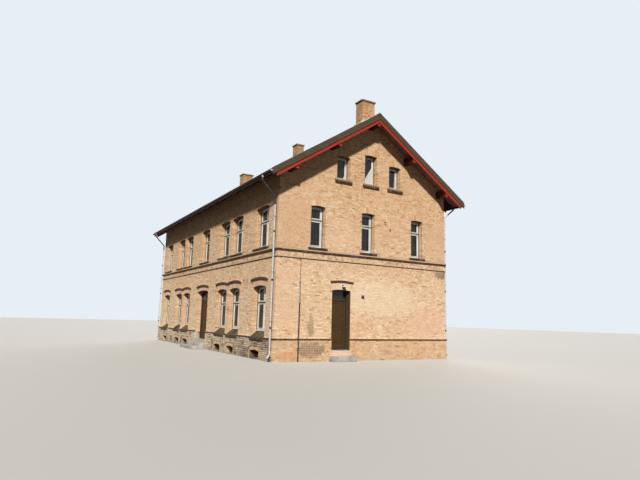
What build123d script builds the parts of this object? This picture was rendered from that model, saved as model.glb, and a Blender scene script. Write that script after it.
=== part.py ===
from build123d import *
from math import asin, atan, cos, degrees, radians, sin, sqrt, tan
import os

# A brick railway station house of two storeys and an attic, with a pitched roof whose
# ridge runs along X. Units are millimetres. The origin is at the middle of the house on
# the ground. The street front faces -Y, the platform side +Y, and the gable with a door
# faces +X.
#
# Each outside wall is worked out in its own wall frame: x runs along the wall, to the
# right as seen from outside, y runs inwards from the brick face, and z is the height.

# The brick box
LENGTH = 17900.0
WIDTH = 8800.0
WALL = 350.0
REVEAL = 240.0

# Heights of the storeys
GROUND_FLOOR_TOP = 430.0
FIRST_FLOOR_TOP = 3750.0
ATTIC_FLOOR_TOP = 6850.0
GROUND_BOARDS = 50.0
JOIST_DEPTH = 150.0
JOIST_WIDTH = 75.0
JOIST_COUNT = 11
UPPER_FLOOR_THICKNESS = 280.0
WALL_SPLIT = 3100.0

# Stone foot of the walls and the brick band on it
PLINTH_TOP = 830.0
PLINTH_PROUD = 40.0
BAND_HEIGHT = 70.0
BAND_PROUD = 60.0

# String courses
LOWER_STRING_Z = 4040.0
LOWER_STRING_HEIGHT = 45.0
LOWER_STRING_PROUD = 30.0
UPPER_STRING_Z = 4310.0
UPPER_STRING_HEIGHT = 110.0
UPPER_STRING_PROUD = 48.0

# Windows of the long fronts
FRONT_WINDOW_WIDTH = 1320.0
FRONT_WINDOW_END = 7430.0
FRONT_PAIR_MIDDLE = 3810.0
FRONT_PAIR_SPACING = 1660.0
GROUND_WINDOW_BOTTOM = 1110.0
GROUND_WINDOW_SPRING = 2886.0
GROUND_WINDOW_RISE = 88.0
GROUND_TRANSOM_Z = 2270.0
FIRST_WINDOW_BOTTOM = 4530.0
FIRST_WINDOW_SPRING = 6220.0
FIRST_WINDOW_RISE = 70.0
FIRST_TRANSOM_Z = 5650.0

# Windows of the gables
GABLE_WINDOW_WIDTH = 690.0
GABLE_WINDOW_SPRING = 6250.0
GABLE_WINDOW_RISE = 40.0
GABLE_WINDOW_PLACES = (-2580.0, -60.0, 2690.0)
GABLE_TRANSOM_Z = 5700.0
ATTIC_WINDOW_WIDTH = 660.0
ATTIC_WINDOW_BOTTOM = 7580.0
ATTIC_SIDE_SPRING = 8600.0
ATTIC_MIDDLE_SPRING = 8890.0
ATTIC_WINDOW_RISE = 40.0
ATTIC_SIDE_PLACE = 1390.0
ATTIC_MIDDLE_PLACE = 50.0

# Segmental arches are drawn as straight chords of about this length
ARCH_CHORD = 340.0

# Window joinery
FRAME_FACE = 90.0
FRAME_DEPTH = 70.0
MULLION_FACE = 110.0
TRANSOM_FACE = 90.0
PANE_THICKNESS = 6.0

# Sills
GROUND_SILL_PROUD = 90.0
GROUND_SILL_NOSE_TOP = 835.0
GROUND_SILL_NOSE_BOTTOM = 766.0
FIRST_SILL_HEIGHT = 80.0
FIRST_SILL_PROUD = 70.0
ATTIC_SILL_HEIGHT = 140.0
ATTIC_SILL_PROUD = 60.0
SILL_EAR = 100.0
SILL_FALL = 25.0

# Hood moulds over the openings of the ground storey
HOOD_END_Z = 3170.0
HOOD_RISE = 75.0
HOOD_HEIGHT = 70.0
HOOD_PROUD = 65.0
HOOD_WIDTH = 1660.0
DOOR_HOOD_EAR = 200.0

# Openings in the stone foot
BASEMENT_WIDTH = 910.0
BASEMENT_PLACES = (2720.0, 4450.0, 7250.0)
BASEMENT_BOTTOM = 40.0
BASEMENT_SPRING = 320.0
BASEMENT_RISE = 50.0
BASEMENT_FRAME = 45.0
BASEMENT_REVEAL = 190.0

# Doors
FRONT_DOOR_WIDTH = 1770.0
FRONT_DOOR_SILL = 458.0
FRONT_DOOR_SPRING = 2940.0
FRONT_DOOR_RISE = 80.0
FRONT_DOOR_TRANSOM_Z = 2540.0
GABLE_DOOR_WIDTH = 915.0
GABLE_DOOR_PLACE = -1380.0
GABLE_DOOR_SILL = 431.0
GABLE_DOOR_SPRING = 2850.0
GABLE_DOOR_RISE = 45.0
GABLE_DOOR_TRANSOM_Z = 2500.0
GABLE_HOOD_HEIGHT = 55.0
DOOR_FRAME_DEPTH = 80.0
DOOR_JAMB = 53.0
DOOR_STOP = 17.0
DOOR_STOP_DEPTH = 30.0
DOOR_TRANSOM = 90.0
LEAF_THICKNESS = 45.0
LEAF_GAP = 5.0
LEAF_FOOT_GAP = 12.0
STILE = 105.0
TOP_RAIL = 110.0
LOCK_RAIL = 130.0
LOCK_RAIL_Z = 850.0
BOTTOM_RAIL = 240.0
PANEL_SINK = 13.0
KNUCKLE_RADIUS = 7.0
KNUCKLE_SIDES = 8
KNUCKLE_LENGTH = 60.0
KNUCKLE_GAP = 0.3
HINGE_STAND = 8.0
HINGE_PLATE = 3.0
HINGE_PLATE_WIDTH = 28.0
HINGE_HEIGHTS = (260.0, 1740.0)
HANDLE_HEIGHT = 960.0
HANDLE_PLATE_WIDTH = 42.0
HANDLE_PLATE_HEIGHT = 200.0
HANDLE_PLATE_THICKNESS = 4.0
HANDLE_NECK = 48.0
HANDLE_NECK_RADIUS = 9.0
HANDLE_LEVER = 115.0
HANDLE_BAR = 14.0
HANDLE_BAR_HEIGHT = 20.0

# Steps
STEP_TREAD = 340.0
FRONT_STEP_COUNT = 2
FRONT_STEP_EAR = 250.0
GABLE_STEP_COUNT = 1
GABLE_STEP_EAR = 120.0

# Roof
PITCH = 33.5
EAVES_RISE = 902.7
VERGE_REACH = 720.0
COVER_THICKNESS = 60.0
BOARDING_THICKNESS = 25.0
RAFTER_DEPTH = 150.0
RAFTER_WIDTH = 75.0
RAFTER_COUNT = 19
RAFTER_END_INSET = 150.0
EAVES_RAFTER_REACH = 616.0
FASCIA_THICKNESS = 22.0
FASCIA_HEIGHT = 130.0
COVER_DRIP = 16.0
VERGE_BOARD_THICKNESS = 30.0
VERGE_BOARD_HEIGHT = 280.0
VERGE_RAFTER_THICKNESS = 40.0
VERGE_RAFTER_DROP = 435.0
VERGE_RAFTER_REACH = 450.0
VERGE_CAP_THICKNESS = 12.0
VERGE_CAP_WIDTH = 75.0
PURLIN_WIDTH = 160.0
RIDGE_PURLIN_HEIGHT = 250.0
PURLIN_HEIGHT = 220.0
MIDDLE_PURLIN_Y = 2000.0
RIDGE_CAP_THICKNESS = 20.0
RIDGE_CAP_WING = 190.0

# Gutters and downpipes
GUTTER_RADIUS = 62.0
GUTTER_SHEET = 3.0
GUTTER_DROP = 22.0
GUTTER_SIDES = 9
GUTTER_LENGTHS = 4
PIPE_RADIUS = 38.0
PIPE_SHEET = 3.0
PIPE_SIDES = 12
PIPE_INSET = 80.0
PIPE_STAND = 115.0
PIPE_DROP_FRONT = 228.0
PIPE_NECK_FRONT = 600.0
PIPE_DROP_BACK = 98.0
PIPE_NECK_BACK = 440.0
PIPE_SHOE_Z = 260.0
PIPE_SHOE_OUT = 120.0
PIPE_SHOE_FALL = 130.0
PIPE_CLIP_HEIGHT = 30.0
PIPE_CLIP_WIDTH = 24.0
PIPE_CLIP_HEIGHTS = (1500.0, 3400.0, 5600.0)

# Chimneys: x of the middle, size along x, size along y, height above the ridge
CHIMNEY_SIZES = (
    (8525.0, 500.0, 680.0, 795.0),
    (2005.0, 480.0, 430.0, 610.0),
    (-5640.0, 600.0, 710.0, 645.0),
)
CHIMNEY_CAP_HEIGHT = 110.0
CHIMNEY_CAP_EDGE = 45.0
FLUE_WALL = 115.0

# Fittings on the gable with the door
LAMP_PLACE = -1310.0
LAMP_Z = 3030.0
LAMP_BASE_RADIUS = 60.0
LAMP_BASE_DEPTH = 30.0
LAMP_REACH = 95.0
LAMP_NECK_RADIUS = 22.0
LAMP_SHADE_RADIUS = 88.0
LAMP_SHADE_HEIGHT = 60.0
LAMP_BOWL_RADIUS = 62.0
LAMP_BOWL_HEIGHT = 70.0
BELL_PLACE = -320.0
BELL_Z = 2640.0
BELL_RADIUS = 75.0
BELL_DEPTH = 70.0
BELL_CROWN_RADIUS = 40.0
BELL_BASE_WIDTH = 80.0
BELL_BASE_DEPTH = 25.0
CONDUIT_PLACE = -3380.0
CONDUIT_RADIUS = 24.0
CONDUIT_TOP = 3170.0
CONDUIT_JOINT_Z = 2330.0
CONDUIT_JOINT_RADIUS = 34.0
CONDUIT_JOINT_HEIGHT = 120.0
CABLE_RADIUS = 9.0
CONDUIT_STAND = 90.0
CONDUIT_CLIP = 26.0

# Worked out from the values above
HALF_LENGTH = LENGTH / 2
HALF_WIDTH = WIDTH / 2
INNER_X = HALF_LENGTH - WALL
INNER_Y = HALF_WIDTH - WALL
SLOPE = tan(radians(PITCH))
RIDGE_Z = ATTIC_FLOOR_TOP + EAVES_RISE + HALF_WIDTH * SLOPE
PLUMB = 1 / cos(radians(PITCH))
COVER_DROP = COVER_THICKNESS * PLUMB
BOARDING_DROP = COVER_DROP + BOARDING_THICKNESS * PLUMB
RAFTER_DROP = BOARDING_DROP + RAFTER_DEPTH * PLUMB
VERGE_X = HALF_LENGTH + VERGE_REACH
VERGE_INNER_X = VERGE_X - VERGE_BOARD_THICKNESS
PURLIN_END_X = VERGE_INNER_X - VERGE_RAFTER_THICKNESS
RAFTER_END_Y = HALF_WIDTH + EAVES_RAFTER_REACH
FASCIA_Y = RAFTER_END_Y + FASCIA_THICKNESS
COVER_END_Y = FASCIA_Y + COVER_DRIP
GUTTER_Y = FASCIA_Y + GUTTER_RADIUS
VERGE_RAFTER_END_Y = HALF_WIDTH + VERGE_RAFTER_REACH
PIPE_X = HALF_LENGTH - PIPE_INSET
LEAF_INSET = DOOR_JAMB + LEAF_GAP
CHIMNEYS = [(x, along, across, RIDGE_Z + rise) for x, along, across, rise in CHIMNEY_SIZES]

# The four wall frames
FRONT = Pos(0, -HALF_WIDTH, 0)
BACK = Rot(0, 0, 180) * Pos(0, -HALF_WIDTH, 0)
GABLE_RIGHT = Rot(0, 0, 90) * Pos(0, -HALF_LENGTH, 0)
GABLE_LEFT = Rot(0, 0, -90) * Pos(0, -HALF_LENGTH, 0)

FRONT_PLACES = tuple(
    side * place
    for side in (-1, 1)
    for place in (
        FRONT_PAIR_MIDDLE - FRONT_PAIR_SPACING / 2,
        FRONT_PAIR_MIDDLE + FRONT_PAIR_SPACING / 2,
        FRONT_WINDOW_END,
    )
)
BASEMENT_CENTRES = tuple(side * place for side in (-1, 1) for place in BASEMENT_PLACES)
ATTIC_WINDOWS = (
    (-ATTIC_SIDE_PLACE, ATTIC_SIDE_SPRING),
    (ATTIC_MIDDLE_PLACE, ATTIC_MIDDLE_SPRING),
    (ATTIC_SIDE_PLACE, ATTIC_SIDE_SPRING),
)


def block(x0, x1, y0, y1, z0, z1):
    middle = Pos((x0 + x1) / 2, (y0 + y1) / 2, (z0 + z1) / 2)
    return middle * Box(x1 - x0, y1 - y0, z1 - z0)


def along_x(points, x0, x1):
    """A prism along X over a polygon of (y, z) points."""
    face = Plane.YZ * make_face(Polyline(*points, close=True))
    return Pos(x0, 0, 0) * extrude(face, amount=x1 - x0)


def through_wall(face, y0, y1):
    """A prism from y0 to y1 over a face drawn in (x, z)."""
    return Pos(0, y1, 0) * extrude(Plane.XZ * face, amount=y1 - y0)


def arch_radius(width, rise):
    return (width * width / 4 + rise * rise) / (2 * rise)


def arch_points(width, spring, rise):
    """Points of a segmental arch in (x, z), from right to left."""
    radius = arch_radius(width, rise)
    centre = spring + rise - radius
    spread = asin(width / 2 / radius)
    chords = max(2, round(width / ARCH_CHORD))
    turns = [spread * (1 - 2 * i / chords) for i in range(chords + 1)]
    return [(radius * sin(turn), centre + radius * cos(turn)) for turn in turns]


def arched_face(width, bottom, spring, rise):
    """An opening with upright sides and a flat segmental arch."""
    half = width / 2
    points = [(-half, bottom), (half, bottom), *arch_points(width, spring, rise)]
    return make_face(Polyline(*points, close=True))


def inset_face(width, bottom, spring, rise, border):
    """The same opening with an even border taken off all round."""
    radius = arch_radius(width, rise)
    centre = spring + rise - radius
    half = width / 2 - border
    inner_spring = centre + sqrt((radius - border) ** 2 - half**2)
    inner_rise = spring + rise - border - inner_spring
    return arched_face(2 * half, bottom + border, inner_spring, inner_rise)


def fuse(pieces):
    pieces = list(pieces)
    return pieces[0] + pieces[1:] if len(pieces) > 1 else pieces[0]


def group(pieces):
    solids = [solid for piece in pieces for solid in piece.solids()]
    return Compound(children=solids)


def round_bar(radius, length, sides=12):
    """A round bar along Z, drawn with a few flat sides."""
    return extrude(RegularPolygon(radius, sides), amount=length / 2, both=True)


def round_taper(low_radius, high_radius, length, sides=16):
    """A round bar along Z that narrows or widens from its low end to its high end."""
    angle = degrees(atan((low_radius - high_radius) * cos(radians(180 / sides)) / length))
    low = Pos(0, 0, -length / 2) * RegularPolygon(low_radius, sides)
    return extrude(low, amount=length, taper=angle)


def roof_z(y, drop=0.0):
    """Height of the roof's upper face at y, or of a plane a plumb drop below it."""
    return RIDGE_Z - abs(y) * SLOPE - drop


def roof_layer(side, x0, x1, inner, outer, top_drop, bottom_drop):
    points = [
        (side * inner, roof_z(inner, top_drop)),
        (side * outer, roof_z(outer, top_drop)),
        (side * outer, roof_z(outer, bottom_drop)),
        (side * inner, roof_z(inner, bottom_drop)),
    ]
    return along_x(points, x0, x1)


def rafter_centres():
    first = INNER_X - RAFTER_END_INSET
    pitch = 2 * first / (RAFTER_COUNT - 1)
    return [-first + i * pitch for i in range(RAFTER_COUNT)]


def rafters(side):
    half = RAFTER_WIDTH / 2
    return [
        roof_layer(side, x - half, x + half, 0, RAFTER_END_Y, BOARDING_DROP, RAFTER_DROP)
        for x in rafter_centres()
    ]


def purlin(y, height):
    """A beam along the roof, with its top cut to the slope of the rafters."""
    y0 = y - PURLIN_WIDTH / 2
    y1 = y + PURLIN_WIDTH / 2
    low = min(roof_z(y0, RAFTER_DROP), roof_z(y1, RAFTER_DROP)) - height
    top = [(y1, roof_z(y1, RAFTER_DROP)), (y0, roof_z(y0, RAFTER_DROP))]
    if y0 < 0 < y1:
        top.insert(1, (0, roof_z(0, RAFTER_DROP)))
    return along_x([(y0, low), (y1, low), *top], -PURLIN_END_X, PURLIN_END_X)


def purlins():
    lower = INNER_Y - PURLIN_WIDTH / 2
    beams = [purlin(0, RIDGE_PURLIN_HEIGHT)]
    for side in (-1, 1):
        beams.append(purlin(side * MIDDLE_PURLIN_Y, PURLIN_HEIGHT))
        beams.append(purlin(side * lower, PURLIN_HEIGHT))
    return beams


def verge_rafters():
    """The deep painted board under each verge, fixed to the ends of the purlins."""
    bents = []
    for side in (-1, 1):
        x0, x1 = sorted((side * PURLIN_END_X, side * VERGE_INNER_X))
        slopes = [
            roof_layer(s, x0, x1, 0, VERGE_RAFTER_END_Y, BOARDING_DROP, VERGE_RAFTER_DROP)
            for s in (-1, 1)
        ]
        bents.append(fuse(slopes))
    return bents


def verge_boards():
    boards = []
    for side in (-1, 1):
        x0, x1 = sorted((side * VERGE_INNER_X, side * VERGE_X))
        slopes = [
            roof_layer(s, x0, x1, 0, FASCIA_Y, 0, VERGE_BOARD_HEIGHT) for s in (-1, 1)
        ]
        boards.append(fuse(slopes))
    return boards


def verge_caps():
    """A thin metal strip on top of each verge board."""
    caps = []
    for side in (-1, 1):
        x0, x1 = sorted((side * (VERGE_X - VERGE_CAP_WIDTH), side * VERGE_X))
        slopes = [
            roof_layer(s, x0, x1, RIDGE_CAP_WING, FASCIA_Y, -VERGE_CAP_THICKNESS, 0)
            for s in (-1, 1)
        ]
        caps += slopes
    return caps


def roof_boarding(side):
    return roof_layer(
        side, -VERGE_INNER_X, VERGE_INNER_X, 0, RAFTER_END_Y, COVER_DROP, BOARDING_DROP
    )


def roof_covering(side):
    return roof_layer(side, -VERGE_INNER_X, VERGE_INNER_X, 0, COVER_END_Y, 0, COVER_DROP)


def chimney_foot(x, along, across):
    return block(
        x - along / 2, x + along / 2, -across / 2, across / 2, ATTIC_FLOOR_TOP, RIDGE_Z * 2
    )


def ridge_capping():
    wings = [
        roof_layer(
            side, -VERGE_X, VERGE_X, 0, RIDGE_CAP_WING, -RIDGE_CAP_THICKNESS * PLUMB, 0
        )
        for side in (-1, 1)
    ]
    cap = fuse(wings)
    for x, along, across, _ in CHIMNEYS:
        cap -= chimney_foot(x, along, across)
    return cap.solids()


def eaves_fascia(side):
    points = [
        (side * RAFTER_END_Y, roof_z(RAFTER_END_Y, COVER_DROP)),
        (side * FASCIA_Y, roof_z(FASCIA_Y, COVER_DROP)),
        (side * FASCIA_Y, roof_z(FASCIA_Y, COVER_DROP) - FASCIA_HEIGHT),
        (side * RAFTER_END_Y, roof_z(FASCIA_Y, COVER_DROP) - FASCIA_HEIGHT),
    ]
    return along_x(points, -VERGE_INNER_X, VERGE_INNER_X)


def gutter_z():
    return roof_z(FASCIA_Y, COVER_DROP) - GUTTER_DROP


def gutter(side):
    """A half-round channel in butted lengths, with an end plate at each end."""
    y = side * GUTTER_Y
    z = gutter_z()
    outer = half_round(GUTTER_RADIUS)
    inner = half_round(GUTTER_RADIUS - GUTTER_SHEET)
    length = 2 * VERGE_X
    channel = extrude(Plane.YZ * outer, amount=length)
    hollow = extrude(Plane.YZ * inner, amount=length - 2 * GUTTER_SHEET)
    channel -= Pos(GUTTER_SHEET, 0, 0) * hollow
    outlets = [
        Pos(x + VERGE_X, 0, -GUTTER_RADIUS) * round_bar(PIPE_RADIUS - PIPE_SHEET, GUTTER_RADIUS)
        for x in (-PIPE_X, PIPE_X)
    ]
    for hole in outlets:
        channel -= hole
    step = length / GUTTER_LENGTHS
    lengths = [
        channel & block(i * step, (i + 1) * step, -GUTTER_RADIUS, GUTTER_RADIUS, -GUTTER_RADIUS, 0)
        for i in range(GUTTER_LENGTHS)
    ]
    return [Pos(-VERGE_X, y, z) * piece for piece in lengths]


def half_round(radius):
    turns = [radians(i * 180 / GUTTER_SIDES) for i in range(GUTTER_SIDES + 1)]
    points = [(radius * cos(turn), -radius * sin(turn)) for turn in turns]
    return make_face(Polyline(*points, close=True))


def downpipe(x, side):
    """Swan neck from the gutter to the wall, upright pipe, clips and a shoe."""
    out_y = GUTTER_Y
    wall_y = HALF_WIDTH + PIPE_STAND
    drop, fall = (PIPE_DROP_FRONT, PIPE_NECK_FRONT) if side < 0 else (PIPE_DROP_BACK, PIPE_NECK_BACK)
    top = gutter_z() - GUTTER_RADIUS / 2
    neck = top - drop
    route = Polyline(
        (0, -out_y, top),
        (0, -out_y, neck),
        (0, -wall_y, neck - fall),
        (0, -wall_y, PIPE_SHOE_Z),
        (0, -wall_y - PIPE_SHOE_OUT, PIPE_SHOE_Z - PIPE_SHOE_FALL),
    )
    start = Plane(origin=(0, -out_y, top), z_dir=(0, 0, -1))
    tubes = [
        sweep(start * RegularPolygon(radius, PIPE_SIDES), path=route, transition=Transition.RIGHT)
        for radius in (PIPE_RADIUS, PIPE_RADIUS - PIPE_SHEET)
    ]
    pipe = tubes[0] - tubes[1]
    trough = extrude(Plane.YZ * half_round(GUTTER_RADIUS), amount=4 * PIPE_RADIUS)
    pipe -= Pos(-2 * PIPE_RADIUS, -out_y, gutter_z()) * trough
    for z in PIPE_CLIP_HEIGHTS:
        clip = block(
            -PIPE_CLIP_WIDTH / 2,
            PIPE_CLIP_WIDTH / 2,
            -wall_y + PIPE_RADIUS - PIPE_SHEET / 2,
            -HALF_WIDTH,
            z,
            z + PIPE_CLIP_HEIGHT,
        )
        pipe += clip
    return Rot(0, 0, 0 if side < 0 else 180) * Pos(x, 0, 0) * pipe


def chimney_stack(x, along, across, top):
    """A stack with one flue, cut at its foot to sit astride the roof."""
    body = block(
        x - along / 2, x + along / 2, -across / 2, across / 2, RIDGE_Z - across, top
    )
    body -= block(
        x - along / 2 + FLUE_WALL,
        x + along / 2 - FLUE_WALL,
        -across / 2 + FLUE_WALL,
        across / 2 - FLUE_WALL,
        RIDGE_Z - across,
        top,
    )
    roof = along_x(
        [(-across, roof_z(across)), (0, RIDGE_Z), (across, roof_z(across)), (0, 0)],
        x - along,
        x + along,
    )
    return body - roof


def chimney_cap(x, along, across, top):
    edge = CHIMNEY_CAP_EDGE
    slab = block(
        x - along / 2 - edge,
        x + along / 2 + edge,
        -across / 2 - edge,
        across / 2 + edge,
        top,
        top + CHIMNEY_CAP_HEIGHT,
    )
    flue = block(
        x - along / 2 + FLUE_WALL,
        x + along / 2 - FLUE_WALL,
        -across / 2 + FLUE_WALL,
        across / 2 - FLUE_WALL,
        top,
        top + CHIMNEY_CAP_HEIGHT,
    )
    return slab - flue


def opening(place, width, bottom, spring, rise):
    """The hole that one window or door makes in a wall."""
    hole = through_wall(arched_face(width, bottom, spring, rise), -BAND_PROUD, WALL * 2)
    return Pos(place, 0, 0) * hole


def ground_window_holes():
    return [
        opening(place, FRONT_WINDOW_WIDTH, PLINTH_TOP, GROUND_WINDOW_SPRING, GROUND_WINDOW_RISE)
        for place in FRONT_PLACES
    ]


def first_window_holes():
    bottom = FIRST_WINDOW_BOTTOM - FIRST_SILL_HEIGHT
    return [
        opening(place, FRONT_WINDOW_WIDTH, bottom, FIRST_WINDOW_SPRING, FIRST_WINDOW_RISE)
        for place in (*FRONT_PLACES, 0.0)
    ]


def gable_window_holes():
    holes = [
        opening(
            place,
            GABLE_WINDOW_WIDTH,
            FIRST_WINDOW_BOTTOM - FIRST_SILL_HEIGHT,
            GABLE_WINDOW_SPRING,
            GABLE_WINDOW_RISE,
        )
        for place in GABLE_WINDOW_PLACES
    ]
    bottom = ATTIC_WINDOW_BOTTOM - ATTIC_SILL_HEIGHT
    for place, spring in ATTIC_WINDOWS:
        holes.append(opening(place, ATTIC_WINDOW_WIDTH, bottom, spring, ATTIC_WINDOW_RISE))
    return holes


def front_door_hole():
    return opening(0, FRONT_DOOR_WIDTH, FRONT_DOOR_SILL, FRONT_DOOR_SPRING, FRONT_DOOR_RISE)


def gable_door_hole():
    return opening(
        GABLE_DOOR_PLACE, GABLE_DOOR_WIDTH, GABLE_DOOR_SILL, GABLE_DOOR_SPRING, GABLE_DOOR_RISE
    )


def long_wall_blank(side):
    """A long wall up to the roof boarding, with a notch for each rafter."""
    y_out = side * HALF_WIDTH
    y_in = side * INNER_Y
    points = [
        (y_out, PLINTH_TOP),
        (y_in, PLINTH_TOP),
        (y_in, roof_z(INNER_Y, BOARDING_DROP)),
        (y_out, roof_z(HALF_WIDTH, BOARDING_DROP)),
    ]
    wall = along_x(points, -HALF_LENGTH, HALF_LENGTH)
    for beam in rafters(side):
        wall -= beam
    return wall


def gable_blank():
    """A gable between the long walls, in the wall frame, with purlin pockets."""
    points = [
        (-INNER_Y, PLINTH_TOP),
        (INNER_Y, PLINTH_TOP),
        (INNER_Y, roof_z(INNER_Y, BOARDING_DROP)),
        (0, roof_z(0, BOARDING_DROP)),
        (-INNER_Y, roof_z(INNER_Y, BOARDING_DROP)),
    ]
    wall = along_x(points, INNER_X, HALF_LENGTH)
    for beam in purlins():
        wall -= beam
    for hole in gable_window_holes():
        wall -= GABLE_RIGHT * hole
    return wall


def front_walls():
    wall = long_wall_blank(-1)
    for hole in (*ground_window_holes(), *first_window_holes()):
        wall -= FRONT * hole
    wall -= FRONT * front_door_hole()
    high = block(-LENGTH, LENGTH, -WIDTH, WIDTH, WALL_SPLIT, RIDGE_Z)
    door = block(
        -FRONT_DOOR_WIDTH / 2, FRONT_DOOR_WIDTH / 2, -WIDTH, WIDTH, PLINTH_TOP, WALL_SPLIT
    )
    upper = wall & (high + door)
    low = wall - high - door
    left = low & block(-LENGTH, 0, -WIDTH, WIDTH, 0, RIDGE_Z)
    right = low & block(0, LENGTH, -WIDTH, WIDTH, 0, RIDGE_Z)
    return left, right, upper


def back_wall():
    wall = long_wall_blank(1)
    for hole in (*ground_window_holes(), *first_window_holes()):
        wall -= BACK * hole
    return wall - BACK * front_door_hole()


def attic_split(wall):
    """A gable wall below and above the attic floor."""
    attic = block(0, LENGTH, -WIDTH, WIDTH, ATTIC_FLOOR_TOP, RIDGE_Z)
    return wall - attic, wall & attic


def right_gable_walls():
    wall = gable_blank() - GABLE_RIGHT * gable_door_hole()
    y0 = GABLE_DOOR_PLACE - GABLE_DOOR_WIDTH / 2
    y1 = GABLE_DOOR_PLACE + GABLE_DOOR_WIDTH / 2
    high = block(0, LENGTH, -WIDTH, WIDTH, WALL_SPLIT, RIDGE_Z)
    door = block(0, LENGTH, y0, y1, PLINTH_TOP, WALL_SPLIT)
    upper, attic = attic_split(wall & (high + door))
    low = wall - high - door
    front = low & block(0, LENGTH, -WIDTH, y0, 0, RIDGE_Z)
    back = low & block(0, LENGTH, y1, WIDTH, 0, RIDGE_Z)
    return front, back, upper, attic


def plinth_long(side):
    """The stone foot of a long wall, with its small arched openings."""
    y0, y1 = sorted((side * INNER_Y, side * (HALF_WIDTH + PLINTH_PROUD)))
    reach = HALF_LENGTH + PLINTH_PROUD
    foot = block(-reach, reach, y0, y1, 0, PLINTH_TOP)
    frame = FRONT if side < 0 else BACK
    for place in BASEMENT_CENTRES:
        foot -= frame * opening(
            place, BASEMENT_WIDTH, BASEMENT_BOTTOM, BASEMENT_SPRING, BASEMENT_RISE
        )
    return foot


def plinth_gable():
    return block(INNER_X, HALF_LENGTH + PLINTH_PROUD, -INNER_Y, INNER_Y, 0, PLINTH_TOP)


def front_plinths():
    foot = plinth_long(-1)
    half = FRONT_DOOR_WIDTH / 2
    return foot - block(-half, half, -WIDTH, 0, 0, PLINTH_TOP)


def right_plinths():
    y0 = GABLE_DOOR_PLACE - GABLE_DOOR_WIDTH / 2
    y1 = GABLE_DOOR_PLACE + GABLE_DOOR_WIDTH / 2
    return plinth_gable() - block(0, LENGTH, y0, y1, 0, PLINTH_TOP)


def thresholds():
    """The stone block under each doorway, as deep as the foot of the wall."""
    half = FRONT_DOOR_WIDTH / 2
    front = FRONT * block(-half, half, -PLINTH_PROUD, WALL, 0, FRONT_DOOR_SILL)
    y0 = GABLE_DOOR_PLACE - GABLE_DOOR_WIDTH / 2
    y1 = GABLE_DOOR_PLACE + GABLE_DOOR_WIDTH / 2
    gable = GABLE_RIGHT * block(y0, y1, -PLINTH_PROUD, WALL, 0, GABLE_DOOR_SILL)
    return front, gable


def flight(place, width, sill, count):
    """Stone steps against the wall foot, rising evenly to the door sill."""
    rise = sill / (count + 1)
    steps = []
    for i in range(count):
        out = -PLINTH_PROUD - (count - i) * STEP_TREAD
        steps.append(
            block(place - width / 2, place + width / 2, out, -PLINTH_PROUD, i * rise, (i + 1) * rise)
        )
    return fuse(steps)


def ring(proud, z0, z1):
    outer = block(
        -HALF_LENGTH - proud, HALF_LENGTH + proud, -HALF_WIDTH - proud, HALF_WIDTH + proud, z0, z1
    )
    return outer - block(-HALF_LENGTH, HALF_LENGTH, -HALF_WIDTH, HALF_WIDTH, z0, z1)


def plinth_band():
    """The brick band on the stone foot, stopped at the doors and ground sills."""
    band = ring(BAND_PROUD, PLINTH_TOP, PLINTH_TOP + BAND_HEIGHT)
    for frame in (FRONT, BACK):
        for place in FRONT_PLACES:
            half = FRONT_WINDOW_WIDTH / 2
            band -= frame * block(place - half, place + half, -WALL, WALL, 0, RIDGE_Z)
        half = FRONT_DOOR_WIDTH / 2
        band -= frame * block(-half, half, -WALL, WALL, 0, RIDGE_Z)
    half = GABLE_DOOR_WIDTH / 2
    band -= GABLE_RIGHT * block(
        GABLE_DOOR_PLACE - half, GABLE_DOOR_PLACE + half, -WALL, WALL, 0, RIDGE_Z
    )
    return band.solids()


def ground_sill(place):
    """A steep brick sill from the window frame down over the stone foot."""
    points = [
        (WALL, GROUND_WINDOW_BOTTOM),
        (REVEAL, GROUND_WINDOW_BOTTOM),
        (-GROUND_SILL_PROUD, GROUND_SILL_NOSE_TOP),
        (-GROUND_SILL_PROUD, GROUND_SILL_NOSE_BOTTOM),
        (-PLINTH_PROUD, GROUND_SILL_NOSE_BOTTOM),
        (-PLINTH_PROUD, PLINTH_TOP),
        (WALL, PLINTH_TOP),
    ]
    half = FRONT_WINDOW_WIDTH / 2
    return along_x(points, place - half, place + half)


def upper_sill(place, width, top, height, proud):
    """A sill laid in the wall, with a nose that reaches past the opening."""
    half = width / 2
    seat = block(place - half, place + half, 0, WALL, top - height, top)
    nose = [
        (0, top),
        (-proud, top - SILL_FALL),
        (-proud, top - height),
        (0, top - height),
    ]
    return seat + along_x(nose, place - half - SILL_EAR, place + half + SILL_EAR)


def window_sills():
    sills = []
    for frame in (FRONT, BACK):
        sills += [frame * ground_sill(place) for place in FRONT_PLACES]
        for place in (*FRONT_PLACES, 0.0):
            sill = upper_sill(
                place, FRONT_WINDOW_WIDTH, FIRST_WINDOW_BOTTOM, FIRST_SILL_HEIGHT, FIRST_SILL_PROUD
            )
            sills.append(frame * sill)
    for frame in (GABLE_RIGHT, GABLE_LEFT):
        for place in GABLE_WINDOW_PLACES:
            sill = upper_sill(
                place, GABLE_WINDOW_WIDTH, FIRST_WINDOW_BOTTOM, FIRST_SILL_HEIGHT, FIRST_SILL_PROUD
            )
            sills.append(frame * sill)
        for place, _ in ATTIC_WINDOWS:
            sill = upper_sill(
                place, ATTIC_WINDOW_WIDTH, ATTIC_WINDOW_BOTTOM, ATTIC_SILL_HEIGHT, ATTIC_SILL_PROUD
            )
            sills.append(frame * sill)
    return sills


def hood(place, width, end_z, rise, height):
    """A thin arched course standing out over an opening."""
    lower = arch_points(width, end_z, rise)
    upper = arch_points(width, end_z + height, rise)
    face = make_face(Polyline(*lower, *reversed(upper), close=True))
    return Pos(place, 0, 0) * through_wall(face, -HOOD_PROUD, 0)


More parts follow.
